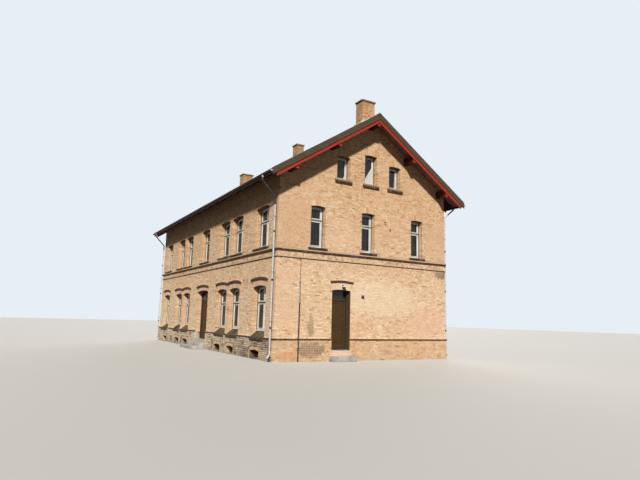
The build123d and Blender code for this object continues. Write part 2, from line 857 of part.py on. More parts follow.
def hood_moulds():
    hoods = []
    for frame in (FRONT, BACK):
        for side in (-1, 1):
            pair = [
                hood(
                    side * (FRONT_PAIR_MIDDLE + step * FRONT_PAIR_SPACING / 2),
                    max(HOOD_WIDTH, FRONT_PAIR_SPACING),
                    HOOD_END_Z,
                    HOOD_RISE,
                    HOOD_HEIGHT,
                )
                for step in (-1, 1)
            ]
            hoods.append(frame * fuse(pair))
            end = hood(side * FRONT_WINDOW_END, HOOD_WIDTH, HOOD_END_Z, HOOD_RISE, HOOD_HEIGHT)
            hoods.append(frame * end)
        width = FRONT_DOOR_WIDTH + DOOR_HOOD_EAR
        hoods.append(frame * hood(0, width, HOOD_END_Z, HOOD_RISE, HOOD_HEIGHT))
    width = GABLE_DOOR_WIDTH + DOOR_HOOD_EAR
    gable = hood(GABLE_DOOR_PLACE, width, HOOD_END_Z, GABLE_DOOR_RISE, GABLE_HOOD_HEIGHT)
    hoods.append(GABLE_RIGHT * gable)
    return hoods


def window(place, width, bottom, spring, rise, transom_z=None, mullion=True):
    """A wooden window: its frame with sash bars, and its panes."""
    outer = arched_face(width, bottom, spring, rise)
    inner = inset_face(width, bottom, spring, rise, FRAME_FACE)
    bars = []
    if mullion:
        bars.append(block(-MULLION_FACE / 2, MULLION_FACE / 2, 0, WALL, bottom, spring + rise))
    if transom_z:
        low = transom_z - TRANSOM_FACE / 2
        bars.append(block(-width / 2, width / 2, 0, WALL, low, low + TRANSOM_FACE))
    lights = through_wall(inner, REVEAL, REVEAL + FRAME_DEPTH)
    middle = REVEAL + FRAME_DEPTH / 2
    panes = through_wall(inner, middle - PANE_THICKNESS / 2, middle + PANE_THICKNESS / 2)
    for bar in bars:
        lights -= bar
        panes -= bar
    frame = through_wall(outer, REVEAL, REVEAL + FRAME_DEPTH) - lights
    return Pos(place, 0, 0) * frame, [Pos(place, 0, 0) * pane for pane in panes.solids()]


def long_windows():
    windows = [
        window(
            place,
            FRONT_WINDOW_WIDTH,
            GROUND_WINDOW_BOTTOM,
            GROUND_WINDOW_SPRING,
            GROUND_WINDOW_RISE,
            GROUND_TRANSOM_Z,
        )
        for place in FRONT_PLACES
    ]
    windows += [
        window(
            place,
            FRONT_WINDOW_WIDTH,
            FIRST_WINDOW_BOTTOM,
            FIRST_WINDOW_SPRING,
            FIRST_WINDOW_RISE,
            FIRST_TRANSOM_Z,
        )
        for place in (*FRONT_PLACES, 0.0)
    ]
    return windows


def gable_windows():
    return [
        window(
            place,
            GABLE_WINDOW_WIDTH,
            FIRST_WINDOW_BOTTOM,
            GABLE_WINDOW_SPRING,
            GABLE_WINDOW_RISE,
            GABLE_TRANSOM_Z,
            mullion=False,
        )
        for place in GABLE_WINDOW_PLACES
    ]


def attic_windows():
    return [
        window(
            place, ATTIC_WINDOW_WIDTH, ATTIC_WINDOW_BOTTOM, spring, ATTIC_WINDOW_RISE, mullion=False
        )
        for place, spring in ATTIC_WINDOWS
    ]


def basement_window(place):
    """A small fixed light set deep in the stone foot."""
    size = (BASEMENT_WIDTH, BASEMENT_BOTTOM, BASEMENT_SPRING, BASEMENT_RISE)
    y0 = BASEMENT_REVEAL
    y1 = BASEMENT_REVEAL + BASEMENT_FRAME
    light = inset_face(*size, BASEMENT_FRAME)
    frame = through_wall(arched_face(*size), y0, y1) - through_wall(light, y0, y1)
    middle = (y0 + y1) / 2
    glass = through_wall(light, middle - PANE_THICKNESS / 2, middle + PANE_THICKNESS / 2)
    return Pos(place, 0, 0) * frame, Pos(place, 0, 0) * glass


def hinge_parts(x, side, sill, on_leaf):
    """Knuckles and plates of one door edge. side is the way from the leaf to the jamb."""
    axis_y = REVEAL + DOOR_FRAME_DEPTH + HINGE_STAND
    face_y = REVEAL + DOOR_FRAME_DEPTH
    parts = []
    for height in HINGE_HEIGHTS:
        low = sill + height if on_leaf else sill + height - KNUCKLE_GAP - KNUCKLE_LENGTH
        high = low + KNUCKLE_LENGTH
        barrel = round_bar(KNUCKLE_RADIUS, KNUCKLE_LENGTH, KNUCKLE_SIDES)
        parts.append(Pos(x, axis_y, (low + high) / 2) * barrel)
        reach = side * (-1 if on_leaf else 1)
        far = x + reach * HINGE_PLATE_WIDTH
        e0, e1 = sorted((x + reach * LEAF_GAP / 2, far))
        parts.append(block(e0, e1, face_y, face_y + HINGE_PLATE, low, high))
        w0, w1 = sorted((x, far))
        parts.append(block(w0, w1, face_y + HINGE_PLATE / 2, face_y + HINGE_PLATE, low, high))
    return parts


def door_frame(width, sill, spring, rise, transom_z, hinge_sides):
    """Jambs, head and transom rail with a stop that the leaves close against."""
    y0 = REVEAL
    y1 = REVEAL + DOOR_FRAME_DEPTH
    outer = arched_face(width, sill, spring, rise)
    frame = through_wall(outer, y0, y1)
    light = inset_face(width, sill, spring, rise, DOOR_JAMB)
    frame -= through_wall(light, y0, y1) & block(
        -width, width, y0, y1, transom_z + DOOR_TRANSOM / 2, spring + rise
    )
    half = width / 2 - DOOR_JAMB
    head = transom_z - DOOR_TRANSOM / 2
    frame -= block(-half, half, y0 + DOOR_STOP_DEPTH, y1, sill, head)
    frame -= block(-half + DOOR_STOP, half - DOOR_STOP, y0, y1, sill, head - DOOR_STOP)
    for side in hinge_sides:
        axis = side * (half - LEAF_GAP / 2)
        for part in hinge_parts(axis, side, sill, on_leaf=False):
            frame += part
    middle = (y0 + y1) / 2
    glass = through_wall(light, middle - PANE_THICKNESS / 2, middle + PANE_THICKNESS / 2)
    glass &= block(-width, width, y0, y1, transom_z + DOOR_TRANSOM / 2, spring + rise)
    return frame, glass


def door_leaf(width, height, hinge_side, sill):
    """A panelled leaf, drawn with its hinge axis at x = 0."""
    near = -hinge_side * LEAF_GAP / 2
    leaf = panelled_slab(near, near - hinge_side * width, sill + LEAF_FOOT_GAP, height)
    for part in hinge_parts(0, hinge_side, sill, on_leaf=True):
        leaf += part
    return leaf


def panelled_slab(near, far, z0, height):
    """Stiles and rails around a low and a tall panel, sunk on both faces."""
    y1 = REVEAL + DOOR_FRAME_DEPTH
    y0 = y1 - LEAF_THICKNESS
    z1 = z0 + height
    x0, x1 = sorted((near, far))
    leaf = block(x0, x1, y0, y1, z0, z1)
    lock_z = z0 + LOCK_RAIL_Z
    fields = [(z0 + BOTTOM_RAIL, lock_z - LOCK_RAIL / 2), (lock_z + LOCK_RAIL / 2, z1 - TOP_RAIL)]
    for low, high in fields:
        for face0, face1 in ((y0, y0 + PANEL_SINK), (y1 - PANEL_SINK, y1)):
            leaf -= block(x0 + STILE, x1 - STILE, face0, face1, low, high)
    return leaf


def door_handle(x, sill, outer, inner, lever_side):
    """A plate and a lever on both faces of a leaf."""
    z = sill + HANDLE_HEIGHT
    parts = []
    for face, out in ((outer, -1), (inner, 1)):
        y0, y1 = sorted((face, face + out * HANDLE_PLATE_THICKNESS))
        half = HANDLE_PLATE_WIDTH / 2
        tall = HANDLE_PLATE_HEIGHT / 2
        parts.append(block(x - half, x + half, y0, y1, z - tall, z + tall))
        neck = Pos(x, face + out * HANDLE_NECK / 2, z) * Rot(90, 0, 0)
        parts.append(neck * round_bar(HANDLE_NECK_RADIUS, HANDLE_NECK, KNUCKLE_SIDES))
        l0, l1 = sorted((x - lever_side * HANDLE_NECK_RADIUS, x + lever_side * HANDLE_LEVER))
        b0, b1 = sorted((face + out * (HANDLE_NECK - HANDLE_BAR), face + out * HANDLE_NECK))
        parts.append(block(l0, l1, b0, b1, z - HANDLE_BAR_HEIGHT / 2, z + HANDLE_BAR_HEIGHT / 2))
    return parts


def leaf_height(sill, transom_z):
    return transom_z - DOOR_TRANSOM / 2 - LEAF_GAP - sill - LEAF_FOOT_GAP


def double_door():
    """The two-leaved door of a long front, in the wall frame."""
    frame, glass = door_frame(
        FRONT_DOOR_WIDTH,
        FRONT_DOOR_SILL,
        FRONT_DOOR_SPRING,
        FRONT_DOOR_RISE,
        FRONT_DOOR_TRANSOM_Z,
        (-1, 1),
    )
    width = (FRONT_DOOR_WIDTH - 2 * LEAF_INSET - LEAF_GAP) / 2
    height = leaf_height(FRONT_DOOR_SILL, FRONT_DOOR_TRANSOM_Z)
    axis = FRONT_DOOR_WIDTH / 2 - DOOR_JAMB - LEAF_GAP / 2
    leaves = []
    for side in (-1, 1):
        leaf = Pos(side * axis, 0, 0) * door_leaf(width, height, side, FRONT_DOOR_SILL)
        if side > 0:
            y1 = REVEAL + DOOR_FRAME_DEPTH
            x = LEAF_GAP / 2 + STILE / 2
            for part in door_handle(x, FRONT_DOOR_SILL, y1 - LEAF_THICKNESS, y1, 1):
                leaf += part
        leaves.append(leaf)
    return frame, glass, leaves[0], leaves[1]


def closed_door():
    """The platform door: the same double door, kept shut and drawn as one piece."""
    frame, _ = door_frame(
        FRONT_DOOR_WIDTH,
        FRONT_DOOR_SILL,
        FRONT_DOOR_SPRING,
        FRONT_DOOR_RISE,
        FRONT_DOOR_TRANSOM_Z,
        (),
    )
    leaf_width = FRONT_DOOR_WIDTH / 2 - DOOR_JAMB
    height = FRONT_DOOR_TRANSOM_Z - DOOR_TRANSOM / 2 - FRONT_DOOR_SILL
    for side in (-1, 1):
        frame += panelled_slab(side * leaf_width, 0, FRONT_DOOR_SILL, height)
    y0 = REVEAL + DOOR_FRAME_DEPTH - LEAF_THICKNESS
    z1 = FRONT_DOOR_SILL + height
    return frame - block(-LEAF_GAP / 2, LEAF_GAP / 2, y0, y0 + PANEL_SINK, FRONT_DOOR_SILL, z1)


def single_door():
    """The one-leaved door of the gable, hinged on its right, in the wall frame."""
    frame, glass = door_frame(
        GABLE_DOOR_WIDTH,
        GABLE_DOOR_SILL,
        GABLE_DOOR_SPRING,
        GABLE_DOOR_RISE,
        GABLE_DOOR_TRANSOM_Z,
        (1,),
    )
    width = GABLE_DOOR_WIDTH - 2 * LEAF_INSET
    height = leaf_height(GABLE_DOOR_SILL, GABLE_DOOR_TRANSOM_Z)
    axis = GABLE_DOOR_WIDTH / 2 - DOOR_JAMB - LEAF_GAP / 2
    leaf = Pos(axis, 0, 0) * door_leaf(width, height, 1, GABLE_DOOR_SILL)
    y1 = REVEAL + DOOR_FRAME_DEPTH
    x = -width / 2 + STILE / 2
    for part in door_handle(x, GABLE_DOOR_SILL, y1 - LEAF_THICKNESS, y1, 1):
        leaf += part
    move = Pos(GABLE_DOOR_PLACE, 0, 0)
    return move * frame, move * glass, move * leaf


def ground_floor():
    low = GROUND_FLOOR_TOP - GROUND_BOARDS
    return block(-INNER_X, INNER_X, -INNER_Y, INNER_Y, low, GROUND_FLOOR_TOP)


def floor_joists():
    """Joists under the ground floor, from one long wall to the other."""
    top = GROUND_FLOOR_TOP - GROUND_BOARDS
    pitch = 2 * INNER_X / (JOIST_COUNT + 1)
    half = JOIST_WIDTH / 2
    centres = [-INNER_X + (i + 1) * pitch for i in range(JOIST_COUNT)]
    return [block(x - half, x + half, -INNER_Y, INNER_Y, top - JOIST_DEPTH, top) for x in centres]


def upper_floor(top):
    return block(-INNER_X, INNER_X, -INNER_Y, INNER_Y, top - UPPER_FLOOR_THICKNESS, top)


def door_lamp():
    """A round wall lamp over the gable door."""
    base = Pos(LAMP_PLACE, -LAMP_BASE_DEPTH / 2, LAMP_Z) * Rot(90, 0, 0)
    lamp = base * round_bar(LAMP_BASE_RADIUS, LAMP_BASE_DEPTH)
    arm = Pos(LAMP_PLACE, -LAMP_REACH / 2, LAMP_Z) * Rot(90, 0, 0)
    lamp += arm * round_bar(LAMP_NECK_RADIUS, LAMP_REACH)
    shade = Pos(LAMP_PLACE, -LAMP_REACH, LAMP_Z)
    lamp += shade * round_taper(LAMP_SHADE_RADIUS, LAMP_NECK_RADIUS, LAMP_SHADE_HEIGHT)
    bowl = Pos(LAMP_PLACE, -LAMP_REACH, LAMP_Z - (LAMP_SHADE_HEIGHT + LAMP_BOWL_HEIGHT) / 2)
    lamp += bowl * round_taper(LAMP_BOWL_RADIUS / 2, LAMP_BOWL_RADIUS, LAMP_BOWL_HEIGHT)
    return GABLE_RIGHT * lamp


def wall_bell():
    """A round bell on a short base, with a dished face."""
    base = Pos(BELL_PLACE, -BELL_BASE_DEPTH / 2, BELL_Z)
    bell = base * Box(BELL_BASE_WIDTH, BELL_BASE_DEPTH, BELL_BASE_WIDTH)
    dome_depth = BELL_DEPTH - BELL_BASE_DEPTH
    rim = Pos(BELL_PLACE, -BELL_BASE_DEPTH - dome_depth / 2, BELL_Z) * Rot(90, 0, 0)
    return GABLE_RIGHT * (bell + rim * round_taper(BELL_RADIUS, BELL_CROWN_RADIUS, dome_depth))


def cable_conduit():
    """A pipe up the gable, with a joint sleeve and a thin cable above it."""
    low = Pos(CONDUIT_PLACE, -CONDUIT_STAND, CONDUIT_TOP / 2) * round_bar(CONDUIT_RADIUS, CONDUIT_TOP)
    joint = Pos(CONDUIT_PLACE, -CONDUIT_STAND, CONDUIT_JOINT_Z)
    low += joint * round_bar(CONDUIT_JOINT_RADIUS, CONDUIT_JOINT_HEIGHT)
    cable = Pos(CONDUIT_PLACE, -CONDUIT_STAND, (CONDUIT_TOP + LOWER_STRING_Z) / 2)
    low += cable * round_bar(CABLE_RADIUS, LOWER_STRING_Z - CONDUIT_TOP)
    for z in (CONDUIT_TOP - CONDUIT_JOINT_HEIGHT, CONDUIT_JOINT_Z / 2, LOWER_STRING_Z - CONDUIT_CLIP):
        low += block(
            CONDUIT_PLACE - CONDUIT_CLIP / 2,
            CONDUIT_PLACE + CONDUIT_CLIP / 2,
            -CONDUIT_STAND,
            0,
            z,
            z + CONDUIT_CLIP,
        )
    return GABLE_RIGHT * low


def build():
    nodes = {}
    nodes["plinth_front"] = front_plinths()
    nodes["plinth_back"] = plinth_long(1) - BACK * front_door_hole()
    nodes["plinth_gable_left"] = Rot(0, 0, 180) * plinth_gable()
    nodes["plinth_gable_right"] = right_plinths()
    nodes["door_thresholds"] = group(thresholds())
    front_steps = flight(
        0, FRONT_DOOR_WIDTH + 2 * FRONT_STEP_EAR, FRONT_DOOR_SILL, FRONT_STEP_COUNT
    )
    gable_step = flight(
        GABLE_DOOR_PLACE, GABLE_DOOR_WIDTH + 2 * GABLE_STEP_EAR, GABLE_DOOR_SILL, GABLE_STEP_COUNT
    )
    nodes["door_steps"] = group([FRONT * front_steps, BACK * front_steps, GABLE_RIGHT * gable_step])
    left, right, upper = front_walls()
    nodes["wall_front_left"] = left
    nodes["wall_front_right"] = right
    nodes["wall_front_upper"] = upper
    nodes["wall_back"] = back_wall()
    low, attic = attic_split(gable_blank())
    nodes["gable_left"] = Rot(0, 0, 180) * low
    nodes["gable_left_attic"] = Rot(0, 0, 180) * attic
    front, back, upper, attic = right_gable_walls()
    nodes["gable_right_front"] = front
    nodes["gable_right_back"] = back
    nodes["gable_right_upper"] = upper
    nodes["gable_right_attic"] = attic
    nodes["plinth_band"] = group(plinth_band())
    nodes["string_courses"] = group(
        [
            ring(LOWER_STRING_PROUD, LOWER_STRING_Z, LOWER_STRING_Z + LOWER_STRING_HEIGHT),
            ring(UPPER_STRING_PROUD, UPPER_STRING_Z, UPPER_STRING_Z + UPPER_STRING_HEIGHT),
        ]
    )
    nodes["hood_moulds"] = group(hood_moulds())
    nodes["window_sills"] = group(window_sills())

    door_parts, door_glass, left_leaf, right_leaf = double_door()
    gable_parts, gable_glass, gable_leaf = single_door()
    long_set = long_windows()
    gable_set = gable_windows()
    attic_set = attic_windows()
    basement_set = [basement_window(place) for place in BASEMENT_CENTRES]
    long_panes = [pane for _, panes in long_set for pane in panes]
    basement_panes = [pane for _, pane in basement_set]
    gable_panes = [pane for _, panes in (*gable_set, *attic_set) for pane in panes]
    nodes["window_frames_front"] = group([FRONT * frame for frame, _ in long_set])
    nodes["window_frames_back"] = group([BACK * frame for frame, _ in long_set])
    nodes["window_frames_gables"] = group(
        [side * frame for side in (GABLE_RIGHT, GABLE_LEFT) for frame, _ in gable_set]
    )
    nodes["window_frames_attic"] = group(
        [side * frame for side in (GABLE_RIGHT, GABLE_LEFT) for frame, _ in attic_set]
    )
    nodes["window_panes_front"] = group(
        [FRONT * pane for pane in (*long_panes, *basement_panes, door_glass)]
    )
    nodes["window_panes_back"] = group(
        [BACK * pane for pane in (*long_panes, *basement_panes, door_glass)]
    )
    nodes["window_panes_gables"] = group(
        [side * pane for side in (GABLE_RIGHT, GABLE_LEFT) for pane in gable_panes]
        + [GABLE_RIGHT * gable_glass]
    )
    nodes["basement_windows"] = group(
        [side * frame for side in (FRONT, BACK) for frame, _ in basement_set]
    )
    nodes["ground_floor"] = ground_floor()
    nodes["floor_joists"] = group(floor_joists())
    nodes["first_floor"] = upper_floor(FIRST_FLOOR_TOP)
    nodes["attic_floor"] = upper_floor(ATTIC_FLOOR_TOP)
    nodes["front_door_frame"] = FRONT * door_parts
    nodes["front_door_left"] = FRONT * left_leaf
    nodes["front_door_right"] = FRONT * right_leaf
    nodes["gable_door_frame"] = GABLE_RIGHT * gable_parts
    nodes["gable_door_leaf"] = GABLE_RIGHT * gable_leaf
    nodes["back_door"] = BACK * closed_door()

    nodes["purlins"] = group(purlins())
    nodes["rafters_front"] = group(rafters(-1))
    nodes["rafters_back"] = group(rafters(1))
    nodes["verge_rafters"] = group(verge_rafters())
    nodes["verge_boards"] = group(verge_boards())
    nodes["verge_caps"] = group(verge_caps())
    nodes["roof_boarding_front"] = roof_boarding(-1)
    nodes["roof_boarding_back"] = roof_boarding(1)
    nodes["roof_covering_front"] = roof_covering(-1)
    nodes["roof_covering_back"] = roof_covering(1)
    nodes["ridge_capping"] = group(ridge_capping())
    nodes["eaves_fascia"] = group([eaves_fascia(-1), eaves_fascia(1)])
    nodes["gutters"] = group([*gutter(-1), *gutter(1)])
    nodes["downpipes"] = group(
        [downpipe(x, side) for side in (-1, 1) for x in (-PIPE_X, PIPE_X)]
    )
    nodes["chimney_stacks"] = group([chimney_stack(*size) for size in CHIMNEYS])
    nodes["chimney_caps"] = group([chimney_cap(*size) for size in CHIMNEYS])
    nodes["door_lamp"] = door_lamp()
    nodes["wall_bell"] = wall_bell()
    nodes["cable_conduit"] = cable_conduit()
    return nodes


os.makedirs("parts", exist_ok=True)
for name, shape in build().items():
    export_step(shape, f"parts/{name}.step")
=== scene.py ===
import math
import bpy
import numpy as np
from mathutils import Matrix, Vector


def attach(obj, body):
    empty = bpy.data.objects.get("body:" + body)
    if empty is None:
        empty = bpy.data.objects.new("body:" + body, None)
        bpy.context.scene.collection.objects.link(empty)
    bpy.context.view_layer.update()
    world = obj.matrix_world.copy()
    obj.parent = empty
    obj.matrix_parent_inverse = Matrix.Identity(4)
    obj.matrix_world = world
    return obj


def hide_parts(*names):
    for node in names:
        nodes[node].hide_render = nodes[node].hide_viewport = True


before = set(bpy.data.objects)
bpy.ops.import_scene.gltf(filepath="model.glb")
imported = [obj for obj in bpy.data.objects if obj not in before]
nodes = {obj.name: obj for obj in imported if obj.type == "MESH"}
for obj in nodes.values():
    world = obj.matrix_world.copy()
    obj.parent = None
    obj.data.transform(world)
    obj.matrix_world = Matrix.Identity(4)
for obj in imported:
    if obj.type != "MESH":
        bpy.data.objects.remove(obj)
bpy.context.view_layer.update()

# The view: a camera at eye height off the street corner of the house, a wide pale floor that the
# house stands on, a soft low sun over the camera's left shoulder, a weak broad light from behind the
# house, so that its far sides show too, and an even pale sky.
camera_place = Vector((26.865, -12.951, 1.655))
camera_right = Vector((0.5081, 0.8609, 0.0264)).normalized()
camera_forward = Vector((-0.8532, 0.4989, 0.1527)).normalized()
camera_up = camera_right.cross(camera_forward).normalized()
bpy.ops.object.camera_add()
camera = bpy.context.object
camera.name = "street_camera"
turn = Matrix((camera_right, camera_up, -camera_forward)).transposed().to_4x4()
camera.matrix_world = Matrix.Translation(camera_place) @ turn
camera.data.sensor_width = 36.0
camera.data.lens = 28.84
camera.data.clip_end = 400.0
bpy.context.scene.camera = camera
bpy.context.scene.view_settings.view_transform = "Standard"

bpy.ops.object.light_add(type="SUN")
sun = bpy.context.object
sun.name = "low_sun"
sun.rotation_euler = Vector((-0.80, 0.52, -0.66)).to_track_quat("-Z", "Y").to_euler()
sun.data.energy = 4.5
sun.data.angle = math.radians(4)
sun.data.color = (1.0, 0.97, 0.92)

bpy.ops.object.light_add(type="SUN")
fill = bpy.context.object
fill.name = "soft_fill_from_behind"
fill.rotation_euler = Vector((0.78, -0.55, -0.26)).to_track_quat("-Z", "Y").to_euler()
fill.data.energy = 1.5
fill.data.angle = math.radians(40)

sky = bpy.data.worlds.new("pale_sky")
bpy.context.scene.world = sky
sky.use_nodes = True
sky_tree = sky.node_tree
sky_light = sky_tree.nodes["Background"]
sky_light.inputs["Color"].default_value = (0.86, 0.93, 1.0, 1)
sky_light.inputs["Strength"].default_value = 0.07
sky_seen = sky_tree.nodes.new("ShaderNodeBackground")
sky_seen.inputs["Color"].default_value = (0.80, 0.86, 0.92, 1)
sky_seen.inputs["Strength"].default_value = 1.0
sky_rays = sky_tree.nodes.new("ShaderNodeLightPath")
sky_pick = sky_tree.nodes.new("ShaderNodeMixShader")
either = sky_tree.nodes.new("ShaderNodeMath")
either.operation = "MAXIMUM"
any_ray = sky_tree.nodes.new("ShaderNodeMath")
any_ray.operation = "MAXIMUM"
sky_tree.links.new(sky_rays.outputs["Is Camera Ray"], either.inputs[0])
sky_tree.links.new(sky_rays.outputs["Is Glossy Ray"], either.inputs[1])
sky_tree.links.new(either.outputs[0], any_ray.inputs[0])
sky_tree.links.new(sky_rays.outputs["Is Transmission Ray"], any_ray.inputs[1])
sky_tree.links.new(any_ray.outputs[0], sky_pick.inputs["Fac"])
sky_tree.links.new(sky_light.outputs[0], sky_pick.inputs[1])
sky_tree.links.new(sky_seen.outputs[0], sky_pick.inputs[2])
sky_tree.links.new(sky_pick.outputs[0], sky_tree.nodes["World Output"].inputs["Surface"])

bpy.ops.mesh.primitive_plane_add(size=260)
floor = bpy.context.object
floor.name = "pale_floor"
floor_paint = bpy.data.materials.new("pale_floor_paint")
floor_paint.use_nodes = True
floor_shader = floor_paint.node_tree.nodes["Principled BSDF"]
floor_rays = floor_paint.node_tree.nodes.new("ShaderNodeLightPath")
floor_tone = floor_paint.node_tree.nodes.new("ShaderNodeMix")
floor_tone.data_type = "RGBA"
floor_tone.inputs[6].default_value = (0.62, 0.60, 0.57, 1)
floor_tone.inputs[7].default_value = (0.11, 0.106, 0.10, 1)
floor_paint.node_tree.links.new(floor_rays.outputs["Is Diffuse Ray"], floor_tone.inputs[0])
floor_paint.node_tree.links.new(floor_tone.outputs[2], floor_shader.inputs["Base Color"])
floor_shader.inputs["Roughness"].default_value = 0.9
floor.data.materials.append(floor_paint)

# The mortar bed of every brick wall: lime mortar, pale grey and sandy, which shows in the joints
# between the bricks. Inside the rooms the same walls are plastered and limewashed.
long_half = 8.95
wide_half = 4.40
wall_depth = 0.35
roof_slope = math.tan(math.radians(33.5))
ridge_height = 10.665


def new_material(name, rough=0.8, metal=0.0):
    """A material, its node tree and its shader. Matt finishes get little gloss."""
    material = bpy.data.materials.new(name)
    material.use_nodes = True
    shader = material.node_tree.nodes["Principled BSDF"]
    shader.inputs["Roughness"].default_value = rough
    shader.inputs["Metallic"].default_value = metal
    shader.inputs["Specular IOR Level"].default_value = 0.15 if rough >= 0.6 else 0.5
    return material, material.node_tree, shader


def add_node(tree, kind, inputs=None, **settings):
    """A node with its settings, and with each input set to a value or linked to an output."""
    made = tree.nodes.new(kind)
    for key, value in settings.items():
        setattr(made, key, value)
    for key, value in (inputs or {}).items():
        if isinstance(value, bpy.types.NodeSocket):
            tree.links.new(value, made.inputs[key])
        else:
            made.inputs[key].default_value = value
    return made


def maths(tree, kind, *values):
    """The result of one maths node, such as MULTIPLY, fed with numbers or other results."""
    return add_node(tree, "ShaderNodeMath", operation=kind, inputs=dict(enumerate(values))).outputs[0]


def ramp(tree, value, low, high):
    """0 where a value is at low, 1 where it is at high, and even between them."""
    made = add_node(tree, "ShaderNodeMapRange", inputs={"Value": value, "From Min": low, "From Max": high})
    return made.outputs[0]


def place_parts(tree):
    """The X, Y and Z of the place in the house."""
    spot = add_node(tree, "ShaderNodeTexCoord")
    return add_node(tree, "ShaderNodeSeparateXYZ", inputs={0: spot.outputs["Object"]}).outputs


def normal_parts(tree):
    """The X, Y and Z of the way that a face looks."""
    shape = add_node(tree, "ShaderNodeNewGeometry")
    return add_node(tree, "ShaderNodeSeparateXYZ", inputs={0: shape.outputs["Normal"]}).outputs


def new_group(name, inputs, outputs):
    """An empty shader node group with its inputs and outputs, ready to be filled."""
    group = bpy.data.node_groups.new(name, "ShaderNodeTree")
    for label, kind, value in inputs:
        socket = group.interface.new_socket(name=label, in_out="INPUT", socket_type=kind)
        socket.default_value = value
    for label, kind in outputs:
        group.interface.new_socket(name=label, in_out="OUTPUT", socket_type=kind)
    return group, group.nodes.new("NodeGroupInput"), group.nodes.new("NodeGroupOutput")


def place_group(tree, group, **inputs):
    """A node group placed in a tree, with its named inputs set or linked."""
    made = tree.nodes.new("ShaderNodeGroup")
    made.node_tree = group
    for label, value in inputs.items():
        label = label.replace("_", " ")
        if isinstance(value, bpy.types.NodeSocket):
            tree.links.new(value, made.inputs[label])
        else:
            made.inputs[label].default_value = value
    return made


def mixed(tree, amount, first, second, kind="MIX"):
    """The colour first turned into second by an amount, or tinted with it when kind is MULTIPLY."""
    made = add_node(tree, "ShaderNodeMix", data_type="RGBA", blend_type=kind)
    for key, value in ((0, amount), (6, first), (7, second)):
        if isinstance(value, bpy.types.NodeSocket):
            tree.links.new(value, made.inputs[key])
        elif key == 0:
            made.inputs[key].default_value = value
        else:
            made.inputs[key].default_value = (*value, 1)
    return made.outputs[2]


# Effects that many materials share: a blotchy mask, a fine relief, and a mask that is 1 at the
# ground and fades out raggedly above it
blotches, group_in, group_out = new_group(
    "blotches",
    [("Size", "NodeSocketFloat", 1.0), ("Low", "NodeSocketFloat", 0.4), ("High", "NodeSocketFloat", 0.6),
     ("Stretch", "NodeSocketVector", (1, 1, 1)), ("Detail", "NodeSocketFloat", 4.0)],
    [("Mask", "NodeSocketFloat"), ("Height", "NodeSocketFloat")],
)
spot = add_node(blotches, "ShaderNodeTexCoord")
pull = add_node(blotches, "ShaderNodeVectorMath", operation="DIVIDE",
                inputs={0: spot.outputs["Object"], 1: group_in.outputs["Stretch"]})
grow = maths(blotches, "DIVIDE", 1.0, group_in.outputs["Size"])
cloud = add_node(blotches, "ShaderNodeTexNoise", noise_dimensions="3D", inputs={
    "Vector": pull.outputs[0], "Scale": grow, "Detail": group_in.outputs["Detail"], "Roughness": 0.6})
reach = ramp(blotches, cloud.outputs["Fac"], group_in.outputs["Low"], group_in.outputs["High"])
blotches.links.new(reach, group_out.inputs["Mask"])
blotches.links.new(cloud.outputs["Fac"], group_out.inputs["Height"])

relief, group_in, group_out = new_group(
    "relief",
    [("Height", "NodeSocketFloat", 0.0), ("Depth", "NodeSocketFloat", 0.002)],
    [("Normal", "NodeSocketVector")],
)
push = add_node(relief, "ShaderNodeBump", inputs={
    "Strength": 1.0, "Distance": group_in.outputs["Depth"], "Height": group_in.outputs["Height"]})
relief.links.new(push.outputs[0], group_out.inputs["Normal"])

near_ground, group_in, group_out = new_group(
    "near_ground",
    [("Top", "NodeSocketFloat", 0.5), ("Ragged", "NodeSocketFloat", 0.4)],
    [("Mask", "NodeSocketFloat")],
)
spot = add_node(near_ground, "ShaderNodeTexCoord")
height = add_node(near_ground, "ShaderNodeSeparateXYZ", inputs={0: spot.outputs["Object"]})
rag = add_node(near_ground, "ShaderNodeTexNoise", inputs={
    "Vector": spot.outputs["Object"], "Scale": 2.2, "Detail": 5.0})
lift = maths(near_ground, "MULTIPLY_ADD", rag.outputs["Fac"], group_in.outputs["Ragged"], height.outputs["Z"])
fade = add_node(near_ground, "ShaderNodeMapRange", inputs={
    "Value": lift, "From Min": 0.0, "From Max": group_in.outputs["Top"], "To Min": 1.0, "To Max": 0.0})
near_ground.links.new(fade.outputs[0], group_out.inputs["Mask"])


def faces_down(tree):
    """1 on faces that look down, such as the underside of an arch or ledge, and 0 elsewhere: the mask of the
    painted shade on undersides.
    """
    return ramp(tree, normal_parts(tree)["Z"], -0.35, -0.75)


def inside_mask(tree):
    """1 on the room side of the outer walls and 0 outside, from the place in the house."""
    at = place_parts(tree)
    along = maths(tree, "LESS_THAN", maths(tree, "ABSOLUTE", at["X"]), long_half - wall_depth + 0.01)
    across = maths(tree, "LESS_THAN", maths(tree, "ABSOLUTE", at["Y"]), wide_half - wall_depth + 0.01)
    return maths(tree, "MULTIPLY", along, across)


def finish_with(tree, shader, colour, grain, depth):
    """Gives the shader its colour, and a fine relief from the heights of a blotchy pattern."""
    tree.links.new(colour, shader.inputs["Base Color"])
    bumps = place_group(tree, relief, Height=grain.outputs["Height"], Depth=depth)
    tree.links.new(bumps.outputs["Normal"], shader.inputs["Normal"])


def tone_ramp(tree, shades):
    """The colour of each laid piece: its own tone, 0 to 1, looked up in a list of shades."""
    tone = add_node(tree, "ShaderNodeAttribute", attribute_name="tone").outputs["Fac"]
    made = add_node(tree, "ShaderNodeValToRGB", inputs={0: tone})
    for at, shade in shades[1:-1]:
        made.color_ramp.elements.new(at)
    for element, (at, shade) in zip(made.color_ramp.elements, shades):
        element.position = at
        element.color = (*shade, 1)
    return made.outputs[0]


